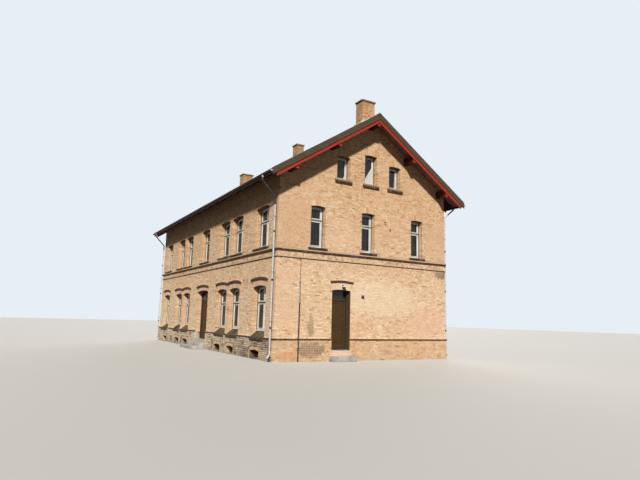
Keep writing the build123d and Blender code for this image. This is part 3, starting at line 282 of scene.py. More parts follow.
mortar, tree, shader = new_material("lime_mortar", rough=0.95)
patches = place_group(tree, blotches, Size=0.9, Low=0.40, High=0.62)
grit = place_group(tree, blotches, Size=0.012, Low=0.35, High=0.65)
colour = mixed(tree, patches.outputs["Mask"], (0.70, 0.52, 0.35), (0.55, 0.39, 0.25))
colour = mixed(tree, grit.outputs["Mask"], colour, (0.76, 0.58, 0.40))
washed = place_group(tree, blotches, Size=0.060, Low=0.54, High=0.63, Detail=5.0)
share = maths(tree, "MULTIPLY", washed.outputs["Mask"], 0.85)
colour = mixed(tree, share, colour, (0.20, 0.13, 0.085))
colour = mixed(tree, inside_mask(tree), colour, (0.40, 0.37, 0.32))
finish_with(tree, shader, colour, grit, 0.003)
sooty_mortar, tree, shader = new_material("sooty_mortar", rough=0.95)
colour = mixed(tree, place_group(tree, blotches, Size=0.02, Low=0.35, High=0.65).outputs["Mask"],
               (0.10, 0.062, 0.042), (0.20, 0.135, 0.092))
grit = place_group(tree, blotches, Size=0.012, Low=0.35, High=0.65)
finish_with(tree, shader, colour, grit, 0.003)
for name in nodes:
    if name.startswith(("wall_front", "wall_back", "gable_left", "gable_right", "plinth_", "chimney_stacks")):
        nodes[name].data.materials[0] = mortar
    if name in ("string_courses", "hood_moulds", "window_sills"):
        nodes[name].data.materials[0] = sooty_mortar

# The bricks of the outer walls: yellow bricks of 228 x 108 x 54 mm, hand struck, some burnt darker,
# laid in cross bond with 11 mm joints. One brick is modelled and laid course by course, and flat
# arches of bricks on edge span the windows and doors.
brick_long, brick_wide, brick_high = 0.228, 0.108, 0.054
joint = 0.011
course = 0.0667
first_course = 0.900
# How far the bricks stand out of their mortar, and where the reveals end at the window frames
proud = 0.0025
reveal_end = 0.236


def clear_selection():
    """Deselects every object."""
    bpy.ops.object.select_all(action="DESELECT")


def take(piece):
    """Selects one piece alone and makes it active."""
    clear_selection()
    piece.select_set(True)
    bpy.context.view_layer.objects.active = piece


def pick_faces(piece, test):
    """Selects the faces of a piece by their centre and normal, and stays in edit mode."""
    bpy.ops.object.mode_set(mode="EDIT")
    bpy.ops.mesh.select_mode(type="FACE")
    bpy.ops.mesh.select_all(action="DESELECT")
    bpy.ops.object.mode_set(mode="OBJECT")
    for face in piece.data.polygons:
        face.select = bool(test(face.center, face.normal))
    bpy.ops.object.mode_set(mode="EDIT")


def cube(name, low, high):
    """A box between two corners, to be shaped into a piece."""
    clear_selection()
    low, high = Vector(low), Vector(high)
    bpy.ops.mesh.primitive_cube_add(size=1, location=(low + high) / 2)
    piece = bpy.context.object
    piece.name = name
    piece.scale = high - low
    bpy.ops.object.transform_apply(location=True, rotation=True, scale=True)
    return piece


def lay(name, pattern, boxes, material, body="building", edges=True, smooth=0):
    """Copies one modelled piece into every box of boxes, as one joined mesh.

    A box has eight corners: x low and high, then y, then z. With edges, the worn edges of the
    pattern keep their size however long a box is. smooth is the angle up to which faces shade
    smoothly into each other, in degrees. Each copy gets a tone of its own for its material."""
    boxes = np.asarray(boxes, float).reshape(-1, 8, 3)
    count = len(boxes)
    points = np.array([vertex.co for vertex in pattern.data.vertices])
    low, high = points.min(0), points.max(0)
    middle, half = (low + high) / 2, (high - low) / 2
    signs = np.sign(points - middle)
    offsets = half - np.abs(points - middle)
    sizes = np.stack([
        np.linalg.norm(boxes[:, 4] - boxes[:, 0], axis=1),
        np.linalg.norm(boxes[:, 2] - boxes[:, 0], axis=1),
        np.linalg.norm(boxes[:, 1] - boxes[:, 0], axis=1)], axis=1)
    if edges:
        share = signs[None] * (1 - 2 * offsets[None] / np.maximum(sizes[:, None], 1e-4))
    else:
        share = np.broadcast_to((points - middle) / half, (count, len(points), 3))
    share = (share + 1) / 2
    verts = np.zeros((count, len(points), 3))
    for corner in range(8):
        weight = np.ones((count, len(points)))
        for axis, bit in ((0, corner >> 2), (1, corner >> 1 & 1), (2, corner & 1)):
            weight = weight * (share[:, :, axis] if bit else 1 - share[:, :, axis])
        verts += weight[:, :, None] * boxes[:, None, corner]
    faces = [tuple(face.vertices) for face in pattern.data.polygons]
    per_face = np.array([len(face) for face in faces])
    flat = np.concatenate([np.array(face) for face in faces])
    loops = (flat[None] + len(points) * np.arange(count)[:, None]).ravel()
    mesh = bpy.data.meshes.new(name)
    mesh.vertices.add(count * len(points))
    mesh.vertices.foreach_set("co", verts.ravel())
    mesh.loops.add(len(loops))
    mesh.loops.foreach_set("vertex_index", loops)
    totals = np.tile(per_face, count)
    mesh.polygons.add(len(totals))
    mesh.polygons.foreach_set("loop_start", np.concatenate([[0], np.cumsum(totals)[:-1]]))
    mesh.polygons.foreach_set("loop_total", totals)
    mesh.update(calc_edges=True)
    mesh.validate()
    mesh.shade_flat()
    tones = np.random.default_rng(len(name) * 7 + count).random(count)
    tone = mesh.attributes.new("tone", "FLOAT", "POINT")
    tone.data.foreach_set("value", np.repeat(tones, len(points)))
    piece = bpy.data.objects.new(name, mesh)
    bpy.context.collection.objects.link(piece)
    piece.data.materials.append(material)
    if smooth:
        take(piece)
        bpy.ops.object.shade_smooth_by_angle(angle=math.radians(smooth))
    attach(piece, body)
    return piece


wall_frames = {
    "front": lambda x, y, z: (x, y - wide_half, z),
    "back": lambda x, y, z: (-x, wide_half - y, z),
    "right": lambda x, y, z: (long_half - y, x, z),
    "left": lambda x, y, z: (y - long_half, -x, z),
}


def wall_boxes(side, quads):
    """World corners of bricks given in a wall's own frame: four (x, z) corners, front and back."""
    boxes = []
    for (bottom_left, bottom_right, top_right, top_left), y_front, y_back in quads:
        corners = []
        for low, high in ((bottom_left, top_left), (bottom_right, top_right)):
            for y in (y_front, y_back):
                corners.append((low[0], y, low[1]))
                corners.append((high[0], y, high[1]))
        boxes.append([wall_frames[side](*corner) for corner in corners])
    return boxes


# Each opening: its middle, half its width, its sill, and the spring and rise of its arch
window_half = 0.66
front_windows = [-7.43, -4.64, -2.98, 2.98, 4.64, 7.43]
low_windows = [(x, window_half, 0.83, 2.886, 0.088) for x in front_windows]
high_windows = [(x, window_half, 4.45, 6.220, 0.070) for x in front_windows + [0.0]]
front_door_opening = (0.0, 0.885, 0.458, 2.940, 0.080)
long_openings = low_windows + high_windows + [front_door_opening]
gable_windows = [-2.58, -0.06, 2.69]
attic_windows = [-1.39, 0.05, 1.39]
gable_openings = [(x, 0.345, 4.45, 6.250, 0.040) for x in gable_windows]
gable_openings += [(x, 0.33, 7.44, top, 0.040) for x, top in zip(attic_windows, (8.60, 8.89, 8.60))]
gable_door_opening = (-1.38, 0.4575, 0.431, 2.850, 0.045)
arch_height = brick_long
# The boards' underside below the roof's top plane, measured plumb
covering_drop = 0.1019


def arch_circle(opening):
    """The middle, centre height and radius of an opening's arch, and half the angle it spans."""
    x, half, _, spring, rise = opening
    radius = (half * half + rise * rise) / (2 * rise)
    return x, spring + rise - radius, radius, math.asin(half / radius)


def roof_underside(y):
    """The height of the underside of the boards at a distance from the ridge line."""
    return ridge_height - abs(y) * roof_slope - covering_drop


def course_spans(side, openings, z0, z1, blocks):
    """Free stretches of one course: each end has its x at the bottom, at the top, and its kind."""
    if side in ("front", "back"):
        spans = [((-long_half, -long_half, "corner"), (long_half, long_half, "corner"))]
    else:
        ends = []
        for z in (z0, z1):
            limit = (ridge_height - covering_drop - 0.006 - z) / roof_slope
            ends.append(min(limit, wide_half))
        kind = "corner" if ends[1] >= wide_half else "cut"
        if ends[1] < 0.03:
            return []
        spans = [((-ends[0], -ends[1], kind), (ends[0], ends[1], kind))]
    holes = []
    for opening in openings:
        x, half, bottom, spring, _ = opening
        _, centre, radius, spread = arch_circle(opening)
        shoulder = centre + (radius + arch_height) * math.cos(spread)
        middle = (z0 + z1) / 2
        if bottom < middle < spring:
            holes.append((x - half, x - half, x + half, x + half, "jamb"))
        elif spring <= middle < shoulder:
            low = half + max(z0 - spring, 0) * math.tan(spread) + joint / 2
            high = half + max(z1 - spring, 0) * math.tan(spread) + joint / 2
            holes.append((x - low, x - high, x + low, x + high, "cut"))
    for x0, x1, low, high in blocks:
        if z1 > low and z0 < high:
            holes.append((x0, x0, x1, x1, "cut"))
    for left0, left1, right0, right1, kind in sorted(holes):
        cut = []
        for start, end in spans:
            if right0 <= start[0] or left0 >= end[0]:
                cut.append((start, end))
                continue
            if left0 > start[0] + 0.03:
                cut.append((start, (left0, left1, kind)))
            if right0 < end[0] - 0.03:
                cut.append(((right0, right1, kind), end))
        spans = cut
    return spans


def lay_course(side, z0, z1, spans, row, openings, face=0.0, owner=None):
    """The bricks of one course, with whole bricks turned into the reveals and round the corners."""
    headers = row % 2 == 1
    owner = side in ("front", "back") if owner is None else owner
    size, deep = (brick_wide, brick_long) if headers else (brick_long, brick_wide)
    z1 = z1 - joint
    quads = []
    for start, end in spans:
        ends = []
        for (low, high, kind), way in ((start, 1), (end, -1)):
            if kind == "jamb":
                low = high = low - way * proud
            elif kind == "corner" and owner:
                low = high = low - way * (proud + face)
            elif kind == "corner":
                low = high = low + way * (size + joint - proud)
            ends.append((low, high, kind))
        length = (ends[1][0] + ends[1][1]) / 2 - (ends[0][0] + ends[0][1]) / 2
        halves = 0.12 if row % 4 == 2 and length > 0.5 else 0.0
        whole = max(1, round((length + joint - 2 * halves) / (size + joint)))
        steps = np.array([0.12] * (halves > 0) + [size + joint] * whole + [0.12] * (halves > 0))
        marks = np.concatenate([[0], np.cumsum(steps)]) / steps.sum()
        count = len(steps)
        for i in range(count):
            xs = []
            for edge in (0, 1):
                share = marks[i + edge]
                low = ends[0][0] + (ends[1][0] - ends[0][0] + joint) * share - edge * joint
                high = ends[0][1] + (ends[1][1] - ends[0][1] + joint) * share - edge * joint
                xs.append((low, high))
            y_back = 0.012
            for at_end, kind in ((i == 0, ends[0][2]), (i == count - 1, ends[1][2])):
                if at_end and kind in ("jamb", "corner"):
                    y_back = max(y_back, deep - proud - face)
            corners = [(xs[0][0], z0), (xs[1][0], z0), (xs[1][1], z1), (xs[0][1], z1)]
            quads.append((corners, -proud - face, y_back))
            for at_end, (edge, _, kind), way in ((i == 0, ends[0], 1), (i == count - 1, ends[1], -1)):
                if at_end and kind == "jamb" and not headers:
                    x0, x1 = sorted((edge, edge + way * 0.03))
                    corners = [(x0, z0), (x1, z0), (x1, z1), (x0, z1)]
                    quads.append((corners, deep + joint - proud, reveal_end))
    fitted = []
    for corners, y_front, y_back in quads:
        corners = [list(corner) for corner in corners]
        for opening in openings:
            x, centre, radius, spread = arch_circle(opening)
            outer = radius + arch_height
            for corner, top in ((corners[0], corners[3]), (corners[1], corners[2])):
                away = corner[0] - x
                if abs(away) < outer * math.sin(spread) and abs(centre + outer - corner[1]) < 0.25:
                    edge = centre + math.sqrt(outer * outer - away * away) + joint
                    corner[1] = min(max(corner[1], edge), top[1] - 0.002)
        if side in ("front", "back"):
            limit = roof_underside(wide_half) - 0.004
            for corner in corners:
                corner[1] = min(corner[1], limit)
        if max(corners[3][1] - corners[0][1], corners[2][1] - corners[1][1]) > 0.010:
            fitted.append((corners, y_front, y_back))
    return fitted


def lay_arch(opening, bottom_proud=proud, face=0.0, height=arch_height, deep=reveal_end, size=brick_high):
    """The bricks on edge of a flat arch, each a wedge that points to the arch's centre."""
    x, centre, radius, spread = arch_circle(opening)
    chord = 2 * opening[1] / max(1, round(2 * opening[1] / 0.34))
    flat = chord * chord / (8 * radius) if bottom_proud else 0.0
    inner, outer = radius - bottom_proud - flat, radius + height
    count = round(2 * spread * radius / (size + joint))
    count += 1 - count % 2
    quads = []
    for i in range(count):
        a0 = -spread + 2 * spread * i / count + joint / 2 / radius
        a1 = -spread + 2 * spread * (i + 1) / count - joint / 2 / radius
        points = []
        for angle, away in ((a0, inner), (a1, inner), (a1, outer), (a0, outer)):
            points.append((x + away * math.sin(angle), centre + away * math.cos(angle)))
        quads.append((points, -proud - face, deep))
    return quads


brick = cube("brick", (0, 0, 0), (brick_long, brick_wide, brick_high))

kiln_shades = ((0.0, (0.38, 0.22, 0.12)), (0.03, (0.58, 0.36, 0.21)), (0.14, (0.70, 0.45, 0.27)),
               (0.40, (0.77, 0.53, 0.33)), (0.68, (0.81, 0.58, 0.37)), (0.86, (0.85, 0.65, 0.44)),
               (1.0, (0.90, 0.75, 0.55)))
# Near black tones of the strings and upper sills, partly soot and partly painted shade.
soot_and_shade_tones = ((0.0, (0.030, 0.016, 0.011)), (0.35, (0.058, 0.033, 0.022)), (0.7, (0.10, 0.060, 0.038)),
                (1.0, (0.19, 0.12, 0.078)))
pink_shades = ((0.0, (0.50, 0.28, 0.19)), (0.10, (0.70, 0.43, 0.31)), (0.5, (0.76, 0.50, 0.37)),
               (1.0, (0.80, 0.58, 0.44)))
dark_shades = ((0.0, (0.034, 0.018, 0.013)), (0.5, (0.070, 0.036, 0.026)), (0.9, (0.11, 0.060, 0.043)),
               (1.0, (0.17, 0.10, 0.07)))

# A shared effect for the brick materials: a ragged spot of a given place and size
patch, group_in, group_out = new_group(
    "patch",
    [("Place", "NodeSocketVector", (0, 0, 0)), ("Size", "NodeSocketVector", (1, 1, 1)),
     ("Ragged", "NodeSocketFloat", 2.2)],
    [("Mask", "NodeSocketFloat")],
)
spot = add_node(patch, "ShaderNodeTexCoord")
away = add_node(patch, "ShaderNodeVectorMath", operation="SUBTRACT",
                inputs={0: spot.outputs["Object"], 1: group_in.outputs["Place"]})
away = add_node(patch, "ShaderNodeVectorMath", operation="DIVIDE",
                inputs={0: away.outputs[0], 1: group_in.outputs["Size"]})
away = add_node(patch, "ShaderNodeVectorMath", operation="LENGTH", inputs={0: away.outputs[0]})
rag = add_node(patch, "ShaderNodeTexNoise", inputs={
    "Vector": spot.outputs["Object"], "Scale": 3.5, "Detail": 9.0, "Roughness": 0.75})
rag = maths(patch, "SUBTRACT", rag.outputs["Fac"], 0.5)
rim = maths(patch, "MULTIPLY_ADD", rag, group_in.outputs["Ragged"], away.outputs["Value"])
rim = ramp(patch, rim, 1.0, 0.70)
patch.links.new(rim, group_out.inputs["Mask"])

# Worn places of the bricks: place, size, colour and how strongly it shows
worn_places = (
    ((8.95, 3.3, 1.6), (0.6, 1.3, 0.9), (0.80, 0.50, 0.34), 0.55),
    ((8.95, -4.1, 2.4), (0.6, 0.75, 1.4), (0.78, 0.50, 0.35), 0.50),
    ((8.95, -3.6, 5.4), (0.6, 1.3, 1.3), (0.62, 0.37, 0.21), 0.60),
    ((8.95, -1.3, 5.2), (0.6, 1.0, 0.8), (0.78, 0.52, 0.34), 0.35),
    ((8.95, 3.9, 5.2), (0.6, 0.9, 1.2), (0.66, 0.41, 0.24), 0.55),
    ((8.95, 0.7, 2.6), (0.6, 2.6, 0.9), (0.88, 0.72, 0.52), 0.60),
    ((8.95, 4.3, 3.85), (0.7, 0.55, 0.26), (0.13, 0.085, 0.055), 0.75),
    ((8.99, -2.75, 0.45), (0.3, 0.75, 0.34), (0.17, 0.11, 0.07), 0.70),
    ((8.95, -2.80, 1.35), (0.3, 0.18, 0.50), (0.17, 0.11, 0.07), 0.65),
    ((8.99, -3.80, 0.22), (0.3, 0.50, 0.18), (0.70, 0.32, 0.16), 0.80),
    ((8.99, -1.38, 0.25), (0.3, 0.60, 0.25), (0.80, 0.60, 0.46), 0.70),
    ((8.30, -4.40, 2.2), (0.45, 0.5, 1.6), (0.74, 0.50, 0.36), 0.40),
    ((-8.95, 3.0, 1.8), (0.6, 1.4, 1.1), (0.80, 0.50, 0.34), 0.50),
    ((-8.95, -2.0, 5.4), (0.6, 1.3, 0.9), (0.76, 0.48, 0.31), 0.45),
    ((-8.99, 1.0, 0.4), (0.3, 1.0, 0.4), (0.16, 0.11, 0.075), 0.50),
    ((3.5, 4.40, 2.0), (1.6, 0.6, 1.1), (0.80, 0.52, 0.36), 0.45),
    ((-5.5, 4.40, 5.4), (1.8, 0.6, 0.9), (0.76, 0.48, 0.31), 0.45),
)


def weather_and_painted_light(tree, colour, at, stack):
    """What the weather did to the yellow walls, and painted light and shade on them: dark spots on the
    stacks, a painted shade under the eaves, the street side painted lighter, faces that look along the house
    such as window jambs painted darker as shade, and the worn places in the list."""
    spots = place_group(tree, blotches, Size=0.16, Low=0.50, High=0.58, Detail=7.0)
    share = maths(tree, "MULTIPLY", maths(tree, "MULTIPLY", stack, spots.outputs["Mask"]), 0.75)
    colour = mixed(tree, share, colour, (0.32, 0.18, 0.095))
    long_side = maths(tree, "GREATER_THAN", maths(tree, "ABSOLUTE", at["Y"]), wide_half - 0.01)
    # A painted shade on the long walls under the eaves, from 6.0 m up.
    painted_eaves_shade = maths(tree, "MULTIPLY", long_side, ramp(tree, at["Z"], 6.0, 6.9))
    colour = mixed(tree, painted_eaves_shade, colour, (0.45, 0.37, 0.31), kind="MULTIPLY")
    way = normal_parts(tree)
    # The street side painted lighter: painted light that brings it up to the sunnier gable.
    street = maths(tree, "MULTIPLY", maths(tree, "LESS_THAN", way["Y"], -0.7), long_side)
    colour = mixed(tree, street, colour, (1.13, 1.18, 1.21), kind="MULTIPLY")
    # Faces that look along the house, such as the jambs of the long walls' windows, painted darker: painted
    # shade in the reveals.
    inward = maths(tree, "LESS_THAN", maths(tree, "ABSOLUTE", at["X"]), 8.6)
    jamb = maths(tree, "GREATER_THAN", maths(tree, "ABSOLUTE", way["X"]), 0.7)
    share = maths(tree, "MULTIPLY", jamb, inward)
    colour = mixed(tree, share, colour, (0.82, 0.78, 0.74), kind="MULTIPLY")
    for place, size, shade, amount in worn_places:
        worn = place_group(tree, patch, Place=place, Size=size)
        share = maths(tree, "MULTIPLY", worn.outputs["Mask"], amount)
        colour = mixed(tree, share, colour, shade)
    return colour


def pale_tops_over_shade(tree, colour, height):
    """The yellow upper half of the strings and the paler tops of the attic sills, above a dark that is partly
    soot and partly painted shade.
    """
    yellow, pale_brown = (0.66, 0.46, 0.29), (0.27, 0.17, 0.105)
    for low, high, shade in ((4.054, 4.120, yellow), (4.368, 4.424, yellow), (7.500, 7.700, pale_brown)):
        rag = place_group(tree, blotches, Size=0.10)
        level = maths(tree, "MULTIPLY_ADD", rag.outputs["Height"], 0.030, height)
        above = ramp(tree, level, low + 0.011, low + 0.019)
        below = maths(tree, "LESS_THAN", height, high)
        colour = mixed(tree, maths(tree, "MULTIPLY", above, below), colour, shade)
    return colour


def brick_material(name, shades, soot_amount, rough=0.85, lift=1.0):
    """One sort of brick. lift darkens all stains and pale places to suit dark bricks."""
    material, tree, shader = new_material(name, rough=rough)
    shader.inputs["Specular IOR Level"].default_value = 0.15
    warm = place_group(tree, blotches, Size=2.8, Low=0.44, High=0.70, Detail=3.0)
    burnt = place_group(tree, blotches, Size=0.34, Low=0.46, High=0.66, Stretch=(1.3, 1.3, 0.8), Detail=8.0)
    pale = place_group(tree, blotches, Size=1.4, Low=0.50, High=0.74, Detail=5.0)
    soot = place_group(tree, blotches, Size=0.55, Low=0.56, High=0.76, Stretch=(1.0, 1.0, 1.5), Detail=7.0)
    speck = place_group(tree, blotches, Size=0.040, Low=0.60, High=0.68, Detail=4.0)
    spots = place_group(tree, blotches, Size=0.16, Low=0.50, High=0.62, Detail=6.0)
    pores = place_group(tree, blotches, Size=0.010, Low=0.30, High=0.55, Detail=3.0)
    wet = place_group(tree, near_ground, Top=0.50, Ragged=0.40)
    at = place_parts(tree)
    height = at["Z"]
    upward = ramp(tree, height, 2.6, 8.0)
    stack = ramp(tree, height, 9.9, 10.5)
    foot = ramp(tree, height, 0.86, 0.80)
    colour = tone_ramp(tree, shades)
    for mask, tint in ((warm.outputs["Mask"], (0.97, 0.87, 0.82)), (upward, (0.83, 0.73, 0.62)),
                       (stack, (0.88, 0.78, 0.70)), (foot, (0.90, 0.82, 0.74))):
        colour = mixed(tree, mask, colour, tint, kind="MULTIPLY")
    share = maths(tree, "MULTIPLY_ADD", maths(tree, "ADD", stack, foot), 0.30, 0.34)
    share = maths(tree, "MULTIPLY", burnt.outputs["Mask"], share)
    colour = mixed(tree, share, colour, (0.66 * lift, 0.44 * lift, 0.27 * lift))
    if shades is kiln_shades:
        colour = weather_and_painted_light(tree, colour, at, stack)
    near_strings = ramp(tree, maths(tree, "ABSOLUTE", maths(tree, "SUBTRACT", height, 4.23)), 0.50, 0.10)
    share = maths(tree, "MULTIPLY", maths(tree, "MULTIPLY", near_strings, spots.outputs["Mask"]), 0.70)
    colour = mixed(tree, share, colour, (0.20 * lift, 0.135 * lift, 0.090 * lift))
    for mask, amount, shade in ((pale, 0.30, (0.84, 0.66, 0.46)), (soot, soot_amount, (0.30, 0.20, 0.14)),
                                (speck, 0.72, (0.26, 0.16, 0.10)), (wet, 0.40, (0.42, 0.33, 0.22))):
        share = maths(tree, "MULTIPLY", mask.outputs["Mask"], amount)
        colour = mixed(tree, share, colour, tuple(lift * part for part in shade))
    if shades is soot_and_shade_tones:
        colour = pale_tops_over_shade(tree, colour, height)
    # Faces that look down, such as arch soffits and the undersides of ledges, painted near black: painted
    # shade.
    share = maths(tree, "MULTIPLY", faces_down(tree), 0.85)
    colour = mixed(tree, share, colour, (0.055, 0.030, 0.020))
    finish_with(tree, shader, colour, pores, 0.003)
    return material


bricks = brick_material("yellow_bricks", kiln_shades, 0.22)
# Bricks of the strings and upper sills: near black, partly soot and partly painted shade, with yellow or
# paler tops.
soot_and_shade_bricks = brick_material("soot_and_painted_shade_ledge_bricks", soot_and_shade_tones, 0.30, lift=0.15)
arch_bricks = brick_material("pink_arch_bricks", pink_shades, 0.12)
dark_bricks = brick_material("dark_brown_bricks", dark_shades, 0.30, rough=0.55, lift=0.18)

rafter_places = [-8.45 + i * 2 * 8.45 / 18 for i in range(19)]
rafter_blocks = [(x - 0.045, x + 0.045, 7.44, 7.70) for x in rafter_places]
purlin_blocks = []
for y in (-3.97, -2.0, 0.0, 2.0, 3.97):
    deep = 0.25 if y == 0 else 0.22
    top = ridge_height - (abs(y) - (0.08 if y else 0)) * roof_slope - 0.2818
    purlin_blocks.append((y - 0.087, y + 0.087, top - deep - 0.06, top + 0.01))
wall_jobs = (
    ("front", "front_wall_bricks", long_openings, rafter_blocks, 7.70),
    ("back", "back_wall_bricks", long_openings, rafter_blocks, 7.70),
    ("right", "right_gable_bricks", gable_openings + [gable_door_opening], purlin_blocks, 10.6),
    ("left", "left_gable_bricks", gable_openings, purlin_blocks, 10.6),
)
for side, name, openings, blocks, top in wall_jobs:
    quads = []
    row = 1 if side in ("right", "left") else 0
    z = first_course
    while z < top:
        spans = course_spans(side, openings, z, z + course, blocks)
        quads += lay_course(side, z, z + course, spans, row, openings)
        row += 1
        z += course
    lay(name, brick, wall_boxes(side, quads), bricks)
    low_arches = [opening for opening in openings if opening[3] < 3 and side in ("front", "back")]
    arches = [quad for opening in low_arches for quad in lay_arch(opening)]
    if arches:
        lay(name + "_low_arches", brick, wall_boxes(side, arches), arch_bricks)
    arches = [quad for opening in openings if opening not in low_arches for quad in lay_arch(opening)]
    lay(name + "_arches", brick, wall_boxes(side, arches), bricks)

# The brick foot of the gables: the same bricks, 40 mm prouder than the wall, in twelve courses from
# the ground to the band, with quoins that show on the long sides too.
foot_top = 0.830
foot_proud = 0.040
door_half = front_door_opening[1]
foot_rows = 12
foot_course = foot_top / foot_rows
for side, name, doors in (("right", "right_foot_bricks", [gable_door_opening]),
                          ("left", "left_foot_bricks", [])):
    quads = []
    for row in range(foot_rows):
        z = row * foot_course
        spans = course_spans(side, doors, z, z + foot_course, [])
        quads += lay_course(side, z, z + foot_course, spans, row, doors, face=foot_proud, owner=True)
    lay(name, brick, wall_boxes(side, quads), bricks)

# The stone foot of the long walls: thin split stones in rough layers with dark joints, partly
# limewashed, and a low brick arch with brick sides round each basement window.


def round_edges(piece, width, segments):
    """Bevels the edges of the piece that was just made."""
    bpy.ops.object.modifier_add(type="BEVEL")
    piece.modifiers["Bevel"].width = width
    piece.modifiers["Bevel"].segments = segments
    bpy.ops.object.modifier_apply(modifier="Bevel")


stone = cube("stone", (-0.12, -0.04, -0.035), (0.12, 0.04, 0.035))
round_edges(stone, 0.010, 1)
pick_faces(stone, lambda centre, normal: normal.y < -0.9)
bpy.ops.mesh.inset(thickness=0.012)
bpy.ops.transform.translate(value=(0.004, -0.006, -0.003))
bpy.ops.object.mode_set(mode="OBJECT")


def limewash(tree, colour, amount=1.0):
    """Old limewash left on the foot in large ragged patches, and thicker away from the near corner."""
    wash = place_group(tree, blotches, Size=1.1, Low=0.53, High=0.57, Stretch=(1.3, 1.0, 0.7), Detail=7.0)
    share = maths(tree, "MULTIPLY", wash.outputs["Mask"], amount)
    colour = mixed(tree, share, colour, (0.62, 0.49, 0.35))
    thick = place_group(tree, blotches, Size=0.55, Low=0.42, High=0.50, Detail=8.0)
    far_part = ramp(tree, place_parts(tree)["X"], 6.2, 4.6)
    share = maths(tree, "MULTIPLY", maths(tree, "MULTIPLY", far_part, thick.outputs["Mask"]), 0.85 * amount)
    return mixed(tree, share, colour, (0.70, 0.58, 0.43))


foot_mortar, tree, shader = new_material("dark_foot_mortar", rough=0.95)
grit = place_group(tree, blotches, Size=0.02, Low=0.35, High=0.65)
colour = mixed(tree, grit.outputs["Mask"], (0.10, 0.070, 0.050), (0.20, 0.15, 0.105))
colour = limewash(tree, colour, 0.6)
colour = mixed(tree, inside_mask(tree), colour, (0.40, 0.37, 0.32))
corner = maths(tree, "GREATER_THAN", maths(tree, "ABSOLUTE", place_parts(tree)["X"]), long_half - 0.075)
colour = mixed(tree, corner, colour, (0.68, 0.50, 0.33))
finish_with(tree, shader, colour, grit, 0.004)
for name in ("plinth_front", "plinth_back"):
    nodes[name].data.materials[0] = foot_mortar

foot_stone, tree, shader = new_material("split_foot_stone", rough=0.9)
stone_shades = ((0.0, (0.15, 0.11, 0.085)), (0.25, (0.30, 0.21, 0.15)), (0.5, (0.44, 0.31, 0.21)),
                (0.75, (0.56, 0.42, 0.30)), (1.0, (0.66, 0.54, 0.42)))
grain = place_group(tree, blotches, Size=0.05, Low=0.35, High=0.65, Stretch=(2.0, 1.0, 0.6), Detail=6.0)
moss = place_group(tree, near_ground, Top=0.45, Ragged=0.5)
colour = mixed(tree, grain.outputs["Mask"], tone_ramp(tree, stone_shades), (0.34, 0.26, 0.19))
colour = limewash(tree, colour)
share = maths(tree, "MULTIPLY", moss.outputs["Mask"], 0.55)
colour = mixed(tree, share, colour, (0.16, 0.13, 0.085))
finish_with(tree, shader, colour, grain, 0.008)

basement_places = [-7.25, -4.45, -2.72, 2.72, 4.45, 7.25]
basement_arches = [(x, 0.455, 0.040, 0.320, 0.050) for x in basement_places]
layer_random = np.random.default_rng(11)
for side in ("front", "back"):
    quads, surround = [], []
    z = 0.0
    while z < foot_top - 0.01:
        z1 = min(z + layer_random.uniform(0.050, 0.105), foot_top)
        if foot_top - z1 < 0.045:
            z1 = foot_top
        holes = [(-door_half, door_half)]
        if z < 0.50:
            holes += [(x - 0.58, x + 0.58) for x in basement_places]
        reach = long_half + foot_proud - 0.112
        spans = [(-reach, reach)]
        for left, right in sorted(holes):
            spans = [part for a, b in spans for part in ((a, min(b, left)), (max(a, right), b))
                     if part[1] - part[0] > 0.03]
        for a, b in spans:
            x = a
            while x < b - 0.001:
                x1 = x + layer_random.uniform(0.12, 0.40)
                x1 = b if b - x1 < 0.09 else x1
                lean = layer_random.uniform(-0.006, 0.006, 4)
                out = foot_proud + layer_random.uniform(0.004, 0.022)
                quads.append(([(x + 0.006, z + 0.005 + lean[0]), (x1 - 0.006, z + 0.005 + lean[1]),
                               (x1 - 0.006 + lean[2], z1 - 0.005), (x + 0.006 + lean[3], z1 - 0.005)],
                              -out, -0.020))
                x = x1
        z = z1
    for quad in quads:
        for k, (x, level) in enumerate(quad[0]):
            quad[0][k] = (x, max(level, 0.002))
    lay(side + "_foot_stones", stone, wall_boxes(side, quads), foot_stone)
    for opening in basement_arches:
        surround += lay_arch(opening, bottom_proud=0.0, face=0.046, height=0.115, deep=0.15)
        for way in (-1, 1):
            x0, x1 = sorted((opening[0] + way * 0.457, opening[0] + way * 0.570))
            for i in range(5):
                level = 0.004 + i * 0.0655
                corners = [(x0, level), (x1, level), (x1, level + 0.0545), (x0, level + 0.0545)]
                surround.append((corners, -0.050, 0.15))
    lay(side + "_basement_surrounds", brick, wall_boxes(side, surround), bricks)


# The band on the foot and the two string courses: rows of bricks laid across the wall, so that only their
# ends show. The band is dark brown and glazed. The strings are yellow at their upper edge and near black
# below, partly with soot and partly with painted shade that stands for the shadow line under each string.
def lay_ledge(name, z0, z1, out, material, stops, size=brick_wide, fall=0.0):
    """A row of bricks end on, right round the house. stops are the doors and sills that break it."""
    boxes = []
    for side in ("front", "right", "back", "left"):
        owner = side in ("front", "back")
        reach = (long_half + out) if owner else wide_half
        spans = [(-reach, reach)]
        for x0, x1 in sorted(stops.get(side, [])):
            spans = [part for low, high in spans for part in ((low, min(high, x0)), (max(low, x1), high))
                     if part[1] - part[0] > 0.02]
        quads = []
        for low, high in spans:
            count = max(1, round((high - low + joint) / (size + joint)))
            for i in range(count):
                x0 = low + (high - low + joint) * i / count
                x1 = low + (high - low + joint) * (i + 1) / count - joint
                quads.append(([(x0, z0), (x1, z0), (x1, z1), (x0, z1)], -out, 0.01))
        side_boxes = np.array(wall_boxes(side, quads))
        side_boxes[:, 1::4, 2] -= fall
        boxes += list(side_boxes)
    return lay(name, brick, boxes, material)


